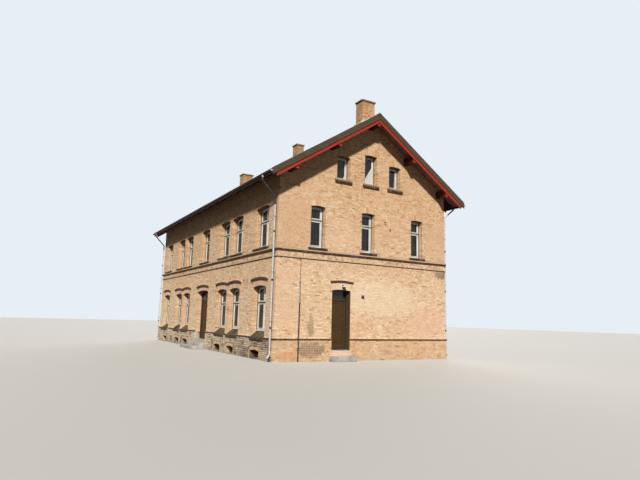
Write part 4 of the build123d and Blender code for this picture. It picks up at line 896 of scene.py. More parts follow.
sill_stops = [(x - window_half, x + window_half) for x in front_windows] + [(-door_half, door_half)]
door_x, gable_door_half = gable_door_opening[:2]
door_stops = [(door_x - gable_door_half, door_x + gable_door_half)]
lay_ledge("foot_band_bricks", foot_top, 0.896, 0.066, dark_bricks,
          {"front": sill_stops, "back": sill_stops, "right": door_stops}, fall=0.010)
lay_ledge("lower_string_bricks", 4.036, 4.085, 0.036, soot_and_shade_bricks, {})
lay_ledge("upper_string_bricks", 4.306, 4.420, 0.054, soot_and_shade_bricks, {}, size=brick_high, fall=0.006)

# The hood moulds: a flat arc of thin dark brown bricks standing out over each ground floor opening, and a
# ring of yellow ones on it, laid end on. The dark of the lower ring is partly painted shade, standing for the
# hood's shadow line. Two neighbouring hoods share one foot.
for side, name in (("front", "front_hood_bricks"), ("back", "back_hood_bricks"),
                   ("right", "gable_hood_bricks")):
    quads, tops = [], []
    if side == "right":
        hoods = [((door_x, gable_door_half + 0.100, 0, 3.165, 0.045), 0.060)]
    else:
        hoods = [((x, window_half + 0.170, 0, 3.165, 0.075), 0.075) for x in front_windows]
        hoods.append(((0.0, door_half + 0.100, 0, 3.165, 0.075), 0.075))
    for opening, tall in hoods:
        quads += lay_arch(opening, 0.0, face=0.065, height=tall / 2, deep=0.01, size=brick_wide)
        tops += lay_arch(opening, -tall / 2, face=0.060, height=tall, deep=0.01, size=brick_wide)
    lay(name, brick, wall_boxes(side, quads), dark_bricks)
    lay(name + "_top", brick, wall_boxes(side, tops), bricks)

# The window sills: bricks on edge. The steep ground floor sills run from the frame down over the
# foot, mossy above and dark brown at the nose; the upper sills lie flatter, with a nose of 70 mm.
moss_shades = ((0.0, (0.030, 0.030, 0.012)), (0.4, (0.060, 0.058, 0.024)), (0.8, (0.10, 0.085, 0.040)),
               (1.0, (0.17, 0.12, 0.07)))
mossy_bricks = brick_material("mossy_sill_bricks", moss_shades, 0.2, rough=0.95, lift=0.45)


def sill_row(x, half, back_y, back_z, nose_y, nose_z, thick, count):
    """Bricks side by side that slope from the frame to the nose, as boxes in the wall's frame."""
    boxes = []
    width = 2 * half / count
    for i in range(count):
        x0, x1 = x - half + i * width + joint / 4, x - half + (i + 1) * width - joint / 4
        boxes.append([(px, py, pz - drop) for px in (x0, x1)
                      for py, pz in ((nose_y, nose_z), (back_y, back_z)) for drop in (thick, 0.0)])
    return boxes


def to_world(side, boxes):
    """Boxes of a wall's own frame turned into world corners."""
    return [[wall_frames[side](*corner) for corner in box] for box in boxes]


steep, noses, flat = [], [], []
for side in ("front", "back"):
    for x in front_windows:
        steep += to_world(side, sill_row(x, 0.655, reveal_end, 1.114, -0.062, 0.872, 0.05, 11))
        noses += to_world(side, sill_row(x, 0.662, -0.030, 0.872, -0.098, 0.842, 0.080, 11))
    for x in front_windows + [0.0]:
        flat += to_world(side, sill_row(x, 0.76, 0.004, 4.534, -0.074, 4.509, 0.083, 13))
        flat += to_world(side, sill_row(x, 0.655, reveal_end, 4.534, 0.004, 4.534, 0.04, 11))
for side in ("right", "left"):
    for x in gable_windows:
        flat += to_world(side, sill_row(x, 0.445, 0.004, 4.534, -0.074, 4.509, 0.083, 8))
        flat += to_world(side, sill_row(x, 0.342, reveal_end, 4.534, 0.004, 4.534, 0.04, 6))
    for x in attic_windows:
        flat += to_world(side, sill_row(x, 0.43, 0.004, 7.584, -0.064, 7.559, 0.143, 8))
        flat += to_world(side, sill_row(x, 0.327, reveal_end, 7.584, 0.004, 7.584, 0.04, 6))
lay("steep_sill_bricks", brick, steep, mossy_bricks)
lay("sill_nose_bricks", brick, noses, dark_bricks)
# The upper sills: dark, partly soot and partly painted shade, the attic ones with paler tops.
lay("upper_sill_bricks", brick, flat, soot_and_shade_bricks)

# The roof timbers: pine rafters, purlins and floor joists as sawn, the ends outside painted red and the
# boards over them dark. The dark of the purlins' sides and of the boards under the eaves is painted shade.
# The boarding is laid board by board across the rafters.
beam = cube("beam", (-0.5, -0.05, -0.05), (0.5, 0.05, 0.05))
round_edges(beam, 0.004, 1)


def wood_material(name, base, dark, rough, along=(14.0, 0.6, 0.6), paint=True):
    """Wood or paint on wood. The grain is drawn out along the axis with the low number."""
    material, tree, shader = new_material(name, rough=rough)
    grain = place_group(tree, blotches, Size=0.035, Low=0.38, High=0.66, Stretch=along, Detail=5.0)
    weather = place_group(tree, blotches, Size=0.8, Low=0.42, High=0.68, Detail=6.0)
    chips = place_group(tree, blotches, Size=0.07, Low=0.66, High=0.70, Detail=6.0)
    colour = mixed(tree, grain.outputs["Mask"], base, dark)
    share = maths(tree, "MULTIPLY", weather.outputs["Mask"], 0.35)
    colour = mixed(tree, share, colour, tuple(0.55 * part for part in base))
    if paint:
        share = maths(tree, "MULTIPLY", chips.outputs["Mask"], 0.5)
        colour = mixed(tree, share, colour, (0.30, 0.24, 0.19))
    finish_with(tree, shader, colour, grain, 0.002)
    return material


raw_pine = wood_material("sawn_pine", (0.24, 0.16, 0.10), (0.13, 0.085, 0.05), 0.8, paint=False)
maroon = wood_material("maroon_paint", (0.060, 0.022, 0.018), (0.035, 0.014, 0.012), 0.55)
soffit_paint = wood_material("faded_soffit_paint", (0.30, 0.18, 0.15), (0.20, 0.11, 0.09), 0.7)
red_paint = wood_material("red_board_paint", (0.43, 0.046, 0.025), (0.30, 0.032, 0.019), 0.65,
                          along=(0.6, 14.0, 0.6))
grey_wood = wood_material("weathered_verge_wood", (0.100, 0.080, 0.052), (0.058, 0.046, 0.032), 0.85,
                          along=(0.6, 14.0, 0.6))


def copied(material, name):
    """A copy of a material, with its node tree, its shader and the colour that reaches it."""
    made = material.copy()
    made.name = name
    shader = made.node_tree.nodes["Principled BSDF"]
    return made, made.node_tree, shader, shader.inputs["Base Color"].links[0].from_socket


purlin_paint, tree, shader, bright = copied(red_paint, "purlin_paint")
# The purlins' sides are painted dark: painted shade. Only their end faces keep the bright red.
sides = maths(tree, "LESS_THAN", maths(tree, "ABSOLUTE", normal_parts(tree)["X"]), 0.7)
dark = mixed(tree, 1.0, bright, (0.16, 0.24, 0.30), kind="MULTIPLY")
tree.links.new(mixed(tree, sides, bright, dark), shader.inputs["Base Color"])
soffit_boards, tree, shader, faded = copied(soffit_paint, "soffit_boards_paint")
# The boards away from the verges are painted dark: painted shade under the eaves. The boards over the verges
# keep the faded paint.
verge = maths(tree, "GREATER_THAN", maths(tree, "ABSOLUTE", place_parts(tree)["X"]), long_half)
dark = mixed(tree, 1.0, faded, (0.17, 0.09, 0.085), kind="MULTIPLY")
tree.links.new(mixed(tree, verge, dark, faded), shader.inputs["Base Color"])
for name, material in (("purlins", purlin_paint), ("rafters_front", maroon), ("rafters_back", maroon),
                       ("verge_rafters", red_paint), ("verge_boards", grey_wood), ("eaves_fascia", maroon),
                       ("ground_floor", raw_pine), ("first_floor", raw_pine), ("attic_floor", raw_pine),
                       ("floor_joists", raw_pine)):
    nodes[name].data.materials[0] = material


def roof_boxes(side, parts):
    """Eight-corner boxes on one slope: x0, x1, eave end and ridge end of y, and plumb drops.

    Each part is (x0, x1, y0, y1, top at y0, top at y1, thickness), with y below 0 for both slopes."""
    turn_over = 1 if side == "front" else -1
    boxes = []
    for x0, x1, y0, y1, top0, top1, thick in parts:
        corners = []
        for x in (x0, x1):
            for y, top in ((y0, top0), (y1, top1)):
                for drop in (top + thick, top):
                    corners.append((turn_over * x, turn_over * y, ridge_height + y * roof_slope - drop))
        boxes.append(corners)
    return boxes


verge_inner = 9.640
boards_end = 5.016
eave_end = 5.054
plumb = 1 / math.cos(math.radians(33.5))
board_top = 0.060 * plumb
board_thick = 0.025 * plumb
board_count = 38
for side in ("front", "back"):
    parts = []
    width = boards_end / board_count
    for i in range(board_count):
        y0, y1 = -boards_end + i * width + 0.002, -boards_end + (i + 1) * width - 0.002
        stagger = (i * 1.7) % 4.0
        cuts = [-verge_inner, *np.arange(-8.0 + stagger, 8.6, 4.0), verge_inner]
        for x0, x1 in zip(cuts[:-1], cuts[1:]):
            parts.append((x0 + 0.001, x1 - 0.001, y0, y1, board_top, board_top, board_thick))
    boards = lay("roof_boards_" + side, beam, roof_boxes(side, parts), soffit_boards)
    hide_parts("roof_boarding_" + side)

# The roof covering: corrugated cement sheets with 30 mm waves, four rows up each slope, each row
# lapped 125 mm over the one below, nailed to battens on the boards. The top sheets are cut out
# round the chimneys.
sheet_waves, wave_steps = 8, 6
wave_high, sheet_thick = 0.030, 0.007
clear_selection()
bpy.ops.mesh.primitive_grid_add(x_subdivisions=sheet_waves * wave_steps, y_subdivisions=1, size=1)
sheet = bpy.context.object
sheet.name = "sheet"
bpy.ops.object.mode_set(mode="EDIT")
bpy.ops.mesh.select_mode(type="VERT")
bpy.ops.mesh.select_all(action="DESELECT")
for step in range(wave_steps):
    bpy.ops.object.mode_set(mode="OBJECT")
    for vertex in sheet.data.vertices:
        vertex.select = round((vertex.co.x + 0.5) * sheet_waves * wave_steps) % wave_steps == step
    bpy.ops.object.mode_set(mode="EDIT")
    lift = wave_high * (0.5 + 0.5 * math.cos(2 * math.pi * step / wave_steps))
    bpy.ops.transform.translate(value=(0, 0, lift))
    bpy.ops.mesh.select_all(action="DESELECT")
bpy.ops.mesh.select_all(action="SELECT")
bpy.ops.mesh.extrude_region_move(TRANSFORM_OT_translate={"value": (0, 0, sheet_thick)})
bpy.ops.mesh.select_all(action="SELECT")
bpy.ops.mesh.normals_make_consistent(inside=False)
bpy.ops.object.mode_set(mode="OBJECT")

cement, tree, shader = new_material("weathered_cement_sheets", rough=0.9)
lichen = place_group(tree, blotches, Size=0.10, Low=0.52, High=0.66, Detail=6.0)
streaks = place_group(tree, blotches, Size=0.22, Low=0.40, High=0.70, Stretch=(1.0, 7.0, 5.0), Detail=5.0)
grit = place_group(tree, blotches, Size=0.02, Low=0.35, High=0.65)
tone = add_node(tree, "ShaderNodeAttribute", attribute_name="tone").outputs["Fac"]
colour = mixed(tree, tone, (0.105, 0.085, 0.068), (0.145, 0.120, 0.098))
colour = mixed(tree, streaks.outputs["Mask"], colour, (0.060, 0.048, 0.038))
share = maths(tree, "MULTIPLY", lichen.outputs["Mask"], 0.45)
colour = mixed(tree, share, colour, (0.20, 0.185, 0.13))
finish_with(tree, shader, colour, grit, 0.003)
# Each chimney: its place on the ridge, its length and width, and its rise above the ridge
chimneys = [(8.525, 0.500, 0.680, 0.795), (2.005, 0.480, 0.430, 0.610), (-5.640, 0.600, 0.710, 0.645)]
rows_up, columns = 4, 18
row_run = (eave_end - 0.03) / rows_up
sheet_wide = 2 * verge_inner / columns
for side in ("front", "back"):
    parts, battens, cut_parts = [], [], []
    turn_over = 1 if side == "front" else -1
    for row in range(rows_up):
        y0 = -eave_end + row * row_run
        y1 = min(y0 + row_run + 0.125, -0.03)
        for column in range(columns):
            x0 = -verge_inner + column * sheet_wide
            x1 = min(x0 + sheet_wide + 0.04, verge_inner)
            part = (x0, x1, y0, y1, 0.002, 0.011, (wave_high + sheet_thick) * plumb)
            by_chimney = row == rows_up - 1 and any(
                x0 - 0.05 < turn_over * x + along / 2 and x1 + 0.05 > turn_over * x - along / 2
                for x, along, _, _ in chimneys)
            (cut_parts if by_chimney else parts).append(part)
        for at in (y0 + 0.06, (y0 + y1) / 2):
            batten = 0.022 * plumb
            battens.append((-verge_inner + 0.005, verge_inner - 0.005, at, at + 0.05,
                            board_top - batten, board_top - batten, batten))
    covering = lay("roof_sheets_" + side, sheet, roof_boxes(side, parts), cement, edges=False, smooth=65)
    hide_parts("roof_covering_" + side)
    lay("roof_battens_" + side, beam, roof_boxes(side, battens), raw_pine)
    top_sheets = lay("roof_sheets_by_chimneys_" + side, sheet, roof_boxes(side, cut_parts), cement,
                     edges=False, smooth=65)
    for x, along, across, _ in chimneys:
        half_x, half_y = along / 2 - 0.01, across / 2 - 0.01
        hole = cube("chimney_hole", (x - half_x, -half_y, 9), (x + half_x, half_y, 12))
        cut = top_sheets.modifiers.new("chimney", "BOOLEAN")
        cut.object = hole
        cut.solver = "EXACT"
        cut.use_self = True
        take(top_sheets)
        bpy.ops.object.modifier_apply(modifier="chimney")
        bpy.data.objects.remove(hole)

# The chimney stacks: the wall's bricks in stretcher courses round each flue, above a sloping foot
# that follows the roof, with a stone cap slab.
for number, (x, along, across, rise) in enumerate(chimneys):
    top = ridge_height + rise
    faces = []
    z, row = ridge_height - across / 2 * roof_slope - 0.05, 0
    while z < top - 0.02:
        z1 = min(z + course, top) - joint
        for half_u, half_v, flip in ((along / 2, across / 2, 0), (across / 2, along / 2, 1)):
            for way in (1, -1):
                lead = (row + flip) % 2 == 0
                reach = half_u + proud if lead else half_u - 0.108 + proud - joint
                count = max(1, round(2 * reach / 0.24))
                for i in range(count):
                    u0 = -reach + (2 * reach + joint) * i / count
                    u1 = -reach + (2 * reach + joint) * (i + 1) / count - joint
                    corners = []
                    for u in (u0, u1):
                        for v in (half_v + proud, half_v - 0.10):
                            for level in (z, z1):
                                point = (u, -v) if flip == 0 else (v, u)
                                corners.append((x + way * point[0], way * point[1], level))
                    faces.append(corners)
        z += course
        row += 1
    lay("chimney_bricks_%d" % (number + 1), brick, faces, bricks)

# The windows: white painted pine casements behind the fixed frames, with a weather bar at the foot of each
# and a moulded transom, and a near black strip in the joint to the wall and under the transom, partly tarred
# rope and partly painted shade. The panes are old drawn glass, a little wavy, with dark rooms behind. On some
# attic panes a white curtain behind the glass is painted, in painted sunlight with a slanted painted shadow
# edge.
paint_white, tree, shader = new_material("white_window_paint", rough=0.45)
shader.inputs["Coat Weight"].default_value = 0.15
flakes = place_group(tree, blotches, Size=0.05, Low=0.62, High=0.66, Detail=6.0)
grime = place_group(tree, blotches, Size=0.35, Low=0.45, High=0.75, Detail=6.0)
brush = place_group(tree, blotches, Size=0.008, Low=0.3, High=0.7, Stretch=(1.0, 1.0, 12.0))
colour = mixed(tree, grime.outputs["Mask"], (0.68, 0.67, 0.64), (0.50, 0.47, 0.42))
share = maths(tree, "MULTIPLY", flakes.outputs["Mask"], 0.55)
colour = mixed(tree, share, colour, (0.36, 0.29, 0.22))
finish_with(tree, shader, colour, brush, 0.001)

glass, tree, shader = new_material("old_window_glass", rough=0.03)
shader.inputs["Alpha"].default_value = 0.72
shader.inputs["IOR"].default_value = 1.5
dust = place_group(tree, blotches, Size=0.5, Low=0.45, High=0.80, Detail=6.0)
ripple = place_group(tree, blotches, Size=0.45, Low=0.2, High=0.8, Stretch=(1.0, 1.0, 2.0), Detail=1.0)
colour = mixed(tree, dust.outputs["Mask"], (0.012, 0.014, 0.018), (0.040, 0.038, 0.034))
finish_with(tree, shader, colour, ripple, 0.004)
# Painted on the attic panes: a white curtain behind the glass in painted sunlight, cut off by a slanted
# painted shadow edge, with a grey strip at one side.
attic_glass, tree, shader, colour = copied(glass, "attic_glass_painted_curtain_light")
at = place_parts(tree)
curtain_streaks = place_group(tree, blotches, Size=0.05, Low=0.30, High=0.70, Stretch=(1.0, 1.0, 5.0))
attic_pane = maths(tree, "GREATER_THAN", at["Z"], 7.4)
attic_pane = maths(tree, "MULTIPLY", attic_pane, maths(tree, "GREATER_THAN", at["X"], 0.0))
sunlit_curtain_white, dim_curtain_grey = (0.82, 0.81, 0.76), (0.30, 0.28, 0.25)
curtain_patches = ((0.05, 8.09, 1.65, sunlit_curtain_white), (-1.39, 7.314, 2.6, sunlit_curtain_white), (1.39, 6.14, 12.0, dim_curtain_grey))
for y, level, lean, shade in curtain_patches:
    away = maths(tree, "SUBTRACT", at["Y"], y)
    pane = maths(tree, "LESS_THAN", maths(tree, "ABSOLUTE", away), 0.24)
    edge = maths(tree, "MULTIPLY_ADD", away, -lean, at["Z"])
    share = maths(tree, "MULTIPLY", pane, ramp(tree, edge, level + 0.02, level))
    share = maths(tree, "MULTIPLY", share, attic_pane)
    white = mixed(tree, curtain_streaks.outputs["Mask"], shade, tuple(0.8 * part for part in shade))
    colour = mixed(tree, share, colour, white)
tree.links.new(colour, shader.inputs["Base Color"])
for name in nodes:
    if name.startswith("window_frames"):
        nodes[name].data.materials[0] = paint_white
    if name.startswith("window_panes"):
        nodes[name].data.materials[0] = attic_glass if "gables" in name else glass

frame_face = 0.090
sash_face = 0.030
sash_front, sash_back = 0.250, 0.302


def bar(x0, x1, z0, z1, front, back, z0_end=None, z1_end=None):
    """One bar in the wall frame; the end heights differ where it follows an arch."""
    z0_end = z0 if z0_end is None else z0_end
    z1_end = z1 if z1_end is None else z1_end
    return [(x0, z0), (x1, z0_end), (x1, z1_end), (x0, z1)], front, back


def sash(x0, x1, z0, z1, opening=None):
    """The bars of one casement. Its head follows the frame's arch when an opening is given."""
    def head(x):
        if opening is None:
            return z1
        middle, centre, radius, _ = arch_circle(opening)
        return centre + math.sqrt((radius - frame_face) ** 2 - (x - middle) ** 2)
    gap = 0.003
    x0, x1, z0 = x0 + gap, x1 - gap, z0 + gap
    low = x0 + sash_face, x1 - sash_face
    bars = [
        bar(x0, low[0], z0, head(x0) - gap, sash_front, sash_back, z1_end=head(low[0]) - gap),
        bar(low[1], x1, z0, head(low[1]) - gap, sash_front, sash_back, z1_end=head(x1) - gap),
        bar(low[0], low[1], z0, z0 + sash_face + 0.006, sash_front, sash_back),
        bar(x0 - 0.006, x1 + 0.006, z0 + 0.004, z0 + 0.026, sash_front - 0.022, sash_front + 0.004),
    ]
    marks = np.linspace(low[0], low[1], 4 if opening else 2)
    for a, b in zip(marks[:-1], marks[1:]):
        bars.append(bar(a, b, head(a) - gap - sash_face, head(a) - gap, sash_front, sash_back,
                        z0_end=head(b) - gap - sash_face, z1_end=head(b) - gap))
    return bars


def long_window(opening, bottom, transom):
    """The casements of a window of the long sides, two below the transom and two above it."""
    x, half = opening[:2]
    low, high = bottom + frame_face, transom - 0.045
    bars = []
    for left, right in ((x - half + frame_face, x - 0.055), (x + 0.055, x + half - frame_face)):
        bars += sash(left, right, low, high)
        bars += sash(left, right, transom + 0.045, None, opening)
    bars.append(bar(x - half + 0.04, x + half - 0.04, transom + 0.022, transom + 0.044, 0.216, 0.245))
    bars.append(bar(x - 0.030, x + 0.030, low, high, 0.228, 0.245))
    bars.append(bar(x - half + 0.01, x + half - 0.01, bottom + 0.002, bottom + 0.040, 0.215, 0.245))
    return bars


# A near black strip round the frames and under the transoms: partly tarred rope, partly painted shade.
tar_and_shade, tree, shader = new_material("tar_and_painted_shade_strip", rough=0.8)
tar = place_group(tree, blotches, Size=0.03, Low=0.40, High=0.70)
colour = mixed(tree, tar.outputs["Mask"], (0.022, 0.016, 0.012), (0.060, 0.044, 0.032))
finish_with(tree, shader, colour, tar, 0.002)


def frame_joint(opening, bottom):
    """The dark strip between a frame and its reveal, along both jambs and under the arch: partly tarred rope
    and partly painted shade of the gap.
    """
    wide = 0.032
    x, half, _, spring, _ = opening
    _, centre, radius, spread = arch_circle(opening)
    bars = [bar(x - half + 0.003, x - half + wide, bottom, spring - 0.01, 0.226, 0.243),
            bar(x + half - wide, x + half - 0.003, bottom, spring - 0.01, 0.226, 0.243)]
    angles = np.linspace(-spread, spread, 7)
    for a, b in zip(angles[:-1], angles[1:]):
        inner, outer = radius - 0.034, radius - 0.010
        points = [(x + away * math.sin(angle), centre + away * math.cos(angle))
                  for angle, away in ((a, inner), (b, inner), (b, outer), (a, outer))]
        bars.append((points, 0.226, 0.243))
    return bars


for side in ("front", "back"):
    bars, joints = [], []
    for windows, bottom, low, transom in ((low_windows, 1.110, 1.115, 2.270),
                                          (high_windows, 4.530, 4.540, 5.650)):
        for opening in windows:
            bars += long_window(opening, bottom, transom)
            joints += frame_joint(opening, low)
            x = opening[0]
            # A near black strip under the transom moulding: painted shadow.
            joints.append(bar(x - 0.61, x + 0.61, transom - 0.022, transom + 0.021, 0.234, 0.245))
    lay(side + "_casements", beam, wall_boxes(side, bars), paint_white)
    lay(side + "_frame_joints", beam, wall_boxes(side, joints), tar_and_shade)
for side in ("right", "left"):
    bars, joints = [], []
    for opening in gable_openings:
        x, half, _, spring, _ = opening
        joints += frame_joint(opening, 4.540 if spring < 7 else 7.590)
        low = (4.530 if spring < 7 else 7.580) + frame_face
        left, right = x - half + frame_face, x + half - frame_face
        if spring < 7:
            bars += sash(left, right, low, 5.655)
            bars += sash(left, right, 5.745, None, opening)
            # A near black strip under the transom moulding: painted shadow.
            joints.append(bar(x - half + 0.03, x + half - 0.03, 5.680, 5.722, 0.234, 0.245))
            bars.append(bar(x - half + 0.03, x + half - 0.03, 5.722, 5.744, 0.222, 0.245))
        else:
            bars += sash(left, right, low, None, opening)
        bars.append(bar(x - half + 0.01, x + half - 0.01, low - 0.088, low - 0.050, 0.215, 0.245))
    lay(side + "_gable_casements", beam, wall_boxes(side, bars), paint_white)
    lay(side + "_gable_frame_joints", beam, wall_boxes(side, joints), tar_and_shade)

# The doors: framed and panelled leaves of painted pine, olive brown and chipped, with a planted moulding
# round each panel and a weather bar, and a kick board on the gable door. The lights over the front and back
# doors have bars, and thin brown boards line the reveals of the gable door.
door_paint = wood_material("olive_door_paint", (0.078, 0.040, 0.014), (0.056, 0.028, 0.010), 0.6,
                           along=(0.6, 0.6, 14.0))
frame_paint = wood_material("dark_jamb_paint", (0.050, 0.030, 0.017), (0.035, 0.021, 0.012), 0.5,
                            along=(0.6, 0.6, 14.0))
for name in ("front_door_left", "front_door_right", "gable_door_leaf", "back_door"):
    nodes[name].data.materials[0] = door_paint
for name in ("front_door_frame", "gable_door_frame", "basement_windows"):
    nodes[name].data.materials[0] = frame_paint

field = cube("door_field", (-0.3, -0.05, -0.4), (0.3, 0.05, 0.4))
pick_faces(field, lambda centre, normal: normal.y < -0.9)
bpy.ops.mesh.inset(thickness=0.006)
bpy.ops.mesh.inset(thickness=0.045)
bpy.ops.transform.translate(value=(0, -0.006, 0))
bpy.ops.object.mode_set(mode="OBJECT")
moulding = cube("door_moulding", (-0.5, -0.05, -0.0125), (0.5, 0.05, 0.0125))
round_edges(moulding, 0.005, 2)
door_face, panel_sink = 0.275, 0.013


def dress_leaf(name, side, body, x0, x1, panels, foot, kick=0.0):
    """Mouldings, raised fields and a weather bar on one leaf, in the wall frame."""
    frames, fields = [], []
    for low, high in panels:
        face = door_face + panel_sink
        wide = 0.024
        for a, b, c, d in ((x0, x1, low, low + wide), (x0, x1, high - wide, high),
                           (x0, x0 + wide, low + wide, high - wide),
                           (x1 - wide, x1, low + wide, high - wide)):
            frames.append(bar(a, b, c, d, door_face - 0.007, face))
        fields.append(bar(x0 + 0.028, x1 - 0.028, low + 0.028, high - 0.028, face - 0.008, face + 0.002))
    frames.append(bar(x0 - 0.080, x1 + 0.080, foot + 0.004, foot + 0.050,
                      door_face - 0.022, door_face + 0.002))
    if kick:
        frames.append(bar(x0 - 0.085, x1 + 0.085, foot + 0.056, foot + kick,
                          door_face - 0.005, door_face + 0.002))
    lay(name + "_mouldings", moulding, wall_boxes(side, frames), door_paint, body=body)
    lay(name + "_fields", field, wall_boxes(side, fields), door_paint, body=body)


gable_panels = [(0.683, 1.228), (1.358, 2.340)]
front_panels = [(0.710, 1.255), (1.385, 2.380)]
dress_leaf("gable_door", "right", "gable_door", -1.6745, -1.0855, gable_panels, 0.443, kick=0.225)
dress_leaf("front_door_left", "front", "front_door_left", -0.722, -0.1075, front_panels, 0.470)
dress_leaf("front_door_right", "front", "front_door_right", 0.1075, 0.722, front_panels, 0.470)
for way, label in ((-1, "left"), (1, "right")):
    x0, x1 = sorted((way * 0.105, way * 0.727))
    dress_leaf("back_door_" + label, "back", "building", x0, x1, [(0.698, 1.243), (1.373, 2.385)], 0.458)

trims = {"front": [], "right": [], "back": []}
for side, opening, transom in (("front", front_door_opening, 2.540), ("back", front_door_opening, 2.540),
                               ("right", gable_door_opening, 2.500)):
    x, half, _, spring, _ = opening
    trims[side].append(bar(x - half + 0.01, x + half - 0.01, transom - 0.020, transom + 0.022, 0.222, 0.243))
    weather_bar = bar(x - half + 0.004, x + half - 0.004, transom + 0.022, transom + 0.040, 0.212, 0.243)
    trims[side].append(weather_bar)
    if half > 0.5:
        for at in (-0.28, 0.28):
            thin_bar = bar(x + at - 0.014, x + at + 0.014, transom + 0.045, spring + 0.015, 0.258, 0.300)
            trims[side].append(thin_bar)
        trims[side].append(bar(x - 0.028, x + 0.028, transom + 0.045, spring + 0.025, 0.250, 0.300))
for side, bars in trims.items():
    lay(side + "_door_transom", moulding, wall_boxes(side, bars), frame_paint)
lining_paint = wood_material("brown_lining_paint", (0.120, 0.070, 0.040), (0.085, 0.050, 0.028), 0.6,
                             along=(0.6, 0.6, 14.0))
lining = [bar(u, u + 0.017, 0.440, 2.846, 0.018, 0.235) for u in (-1.8365, -0.9405)]
lining += [bar(u - 0.004, u + 0.021, 0.440, 2.846, 0.010, 0.020) for u in (-1.8325, -0.9445)]
lay("gable_door_lining", moulding, wall_boxes("right", lining), lining_paint)

# The doorsteps and thresholds: blocks of grey granite with tooled faces and worn, rounded edges,
# laid dry on each other.
granite, tree, shader = new_material("tooled_granite", rough=0.75)
flecks = place_group(tree, blotches, Size=0.006, Low=0.40, High=0.60, Detail=2.0)
stain = place_group(tree, blotches, Size=0.30, Low=0.45, High=0.75, Detail=6.0)
tooling = place_group(tree, blotches, Size=0.018, Low=0.3, High=0.7, Detail=3.0)
colour = mixed(tree, flecks.outputs["Mask"], (0.40, 0.37, 0.33), (0.60, 0.56, 0.50))
colour = mixed(tree, stain.outputs["Mask"], colour, (0.26, 0.23, 0.19))
finish_with(tree, shader, colour, tooling, 0.004)
nodes["door_thresholds"].data.materials[0] = granite
step_block = cube("step_block", (-0.5, -0.2, -0.1), (0.5, 0.2, 0.1))
round_edges(step_block, 0.014, 3)
treads = {"front": [], "back": [], "right": []}
for side, opening, wider, count in (("front", front_door_opening, 0.250, 2),
                                    ("back", front_door_opening, 0.250, 2),
                                    ("right", gable_door_opening, 0.120, 1)):
    x, half, sill = opening[0], opening[1] + wider, opening[2]
    rise = sill / (count + 1)
    for i in range(count):
        out = -0.040 - (count - i) * 0.340
        pieces = 2 if half > 1 else 1
        for k in range(pieces):
            x0 = x - half + 2 * half * k / pieces + 0.001
            x1 = x - half + 2 * half * (k + 1) / pieces - 0.001
            treads[side].append(bar(x0, x1, i * rise, (i + 1) * rise, out, -0.040))
steps = [box for side, bars in treads.items() for box in wall_boxes(side, bars)]
step_piece = lay("granite_steps", step_block, steps, granite, smooth=40)
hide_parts("door_steps")

# The ridge: folded caps of the roof's own cement, 1.1 m long and lapped, with a round roll on top,
# and a sheet zinc strip along each verge, nailed every third of a metre.
clear_selection()
bpy.ops.mesh.primitive_cylinder_add(vertices=16, radius=0.5, depth=1, rotation=(0, math.pi / 2, 0))
roll = bpy.context.object
roll.name = "ridge_roll"
bpy.ops.object.transform_apply(location=True, rotation=True, scale=True)
round_edges(roll, 0.02, 2)
cap_length, cap_reach = 1.10, 0.188
wings, rolls = [], []
edges_x = np.arange(-9.66, 9.65, cap_length - 0.08)
cap_lift = -0.020 * plumb
for i, x0 in enumerate(edges_x):
    x1 = min(x0 + cap_length, 9.665)
    lift = 0.004 if i % 2 else 0.0
    inside = [(x, along) for x, along, _, _ in chimneys if x0 < x + along / 2 and x1 > x - along / 2]
    pieces = [(x0, x1)]
    for x, along in inside:
        pieces = [part for a, b in pieces for part in ((a, min(b, x - along / 2)), (max(a, x + along / 2), b))
                  if part[1] - part[0] > 0.02]
    for a, b in pieces:
        for side in ("front", "back"):
            ends = (a, b) if side == "front" else (-b, -a)
            drop = cap_lift + 0.006 - lift
            wings += roof_boxes(side, [(*ends, -cap_reach, -0.004, drop, drop, 0.010 * plumb)])
        top = ridge_height - cap_lift - 0.030 + lift
        rolls.append([(x, y, z) for x in (a, b) for y in (-0.034, 0.034) for z in (top - 0.040, top + 0.026)])
ridge_wings = lay("ridge_wings", beam, wings, cement)
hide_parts("ridge_capping")
lay("ridge_rolls", roll, rolls, cement, edges=False, smooth=40)

zinc, tree, shader = new_material("weathered_zinc", rough=0.45, metal=0.85)
bloom = place_group(tree, blotches, Size=0.12, Low=0.35, High=0.65, Detail=6.0)
runs = place_group(tree, blotches, Size=0.06, Low=0.45, High=0.70, Stretch=(1.0, 1.0, 8.0), Detail=5.0)
colour = mixed(tree, bloom.outputs["Mask"], (0.40, 0.42, 0.44), (0.24, 0.25, 0.26))
colour = mixed(tree, runs.outputs["Mask"], colour, (0.13, 0.12, 0.11))
finish_with(tree, shader, colour, bloom, 0.002)
verge_x, fascia_y = 9.670, 5.038
verge_strips = []
for side in ("front", "back"):
    for way in (-1, 1):
        for i in range(5):
            y0, y1 = -fascia_y + i * 0.970, -fascia_y + (i + 1) * 0.970 + 0.004
            xs = sorted((way * (verge_x - 0.075), way * verge_x))
            drop = -0.008 - 0.002 * (i % 2)
            verge_strips += roof_boxes(side, [(*xs, y0, min(y1, -cap_reach), drop, drop, 0.010)])
strips = lay("verge_strips", beam, verge_strips, zinc)
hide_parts("verge_caps")

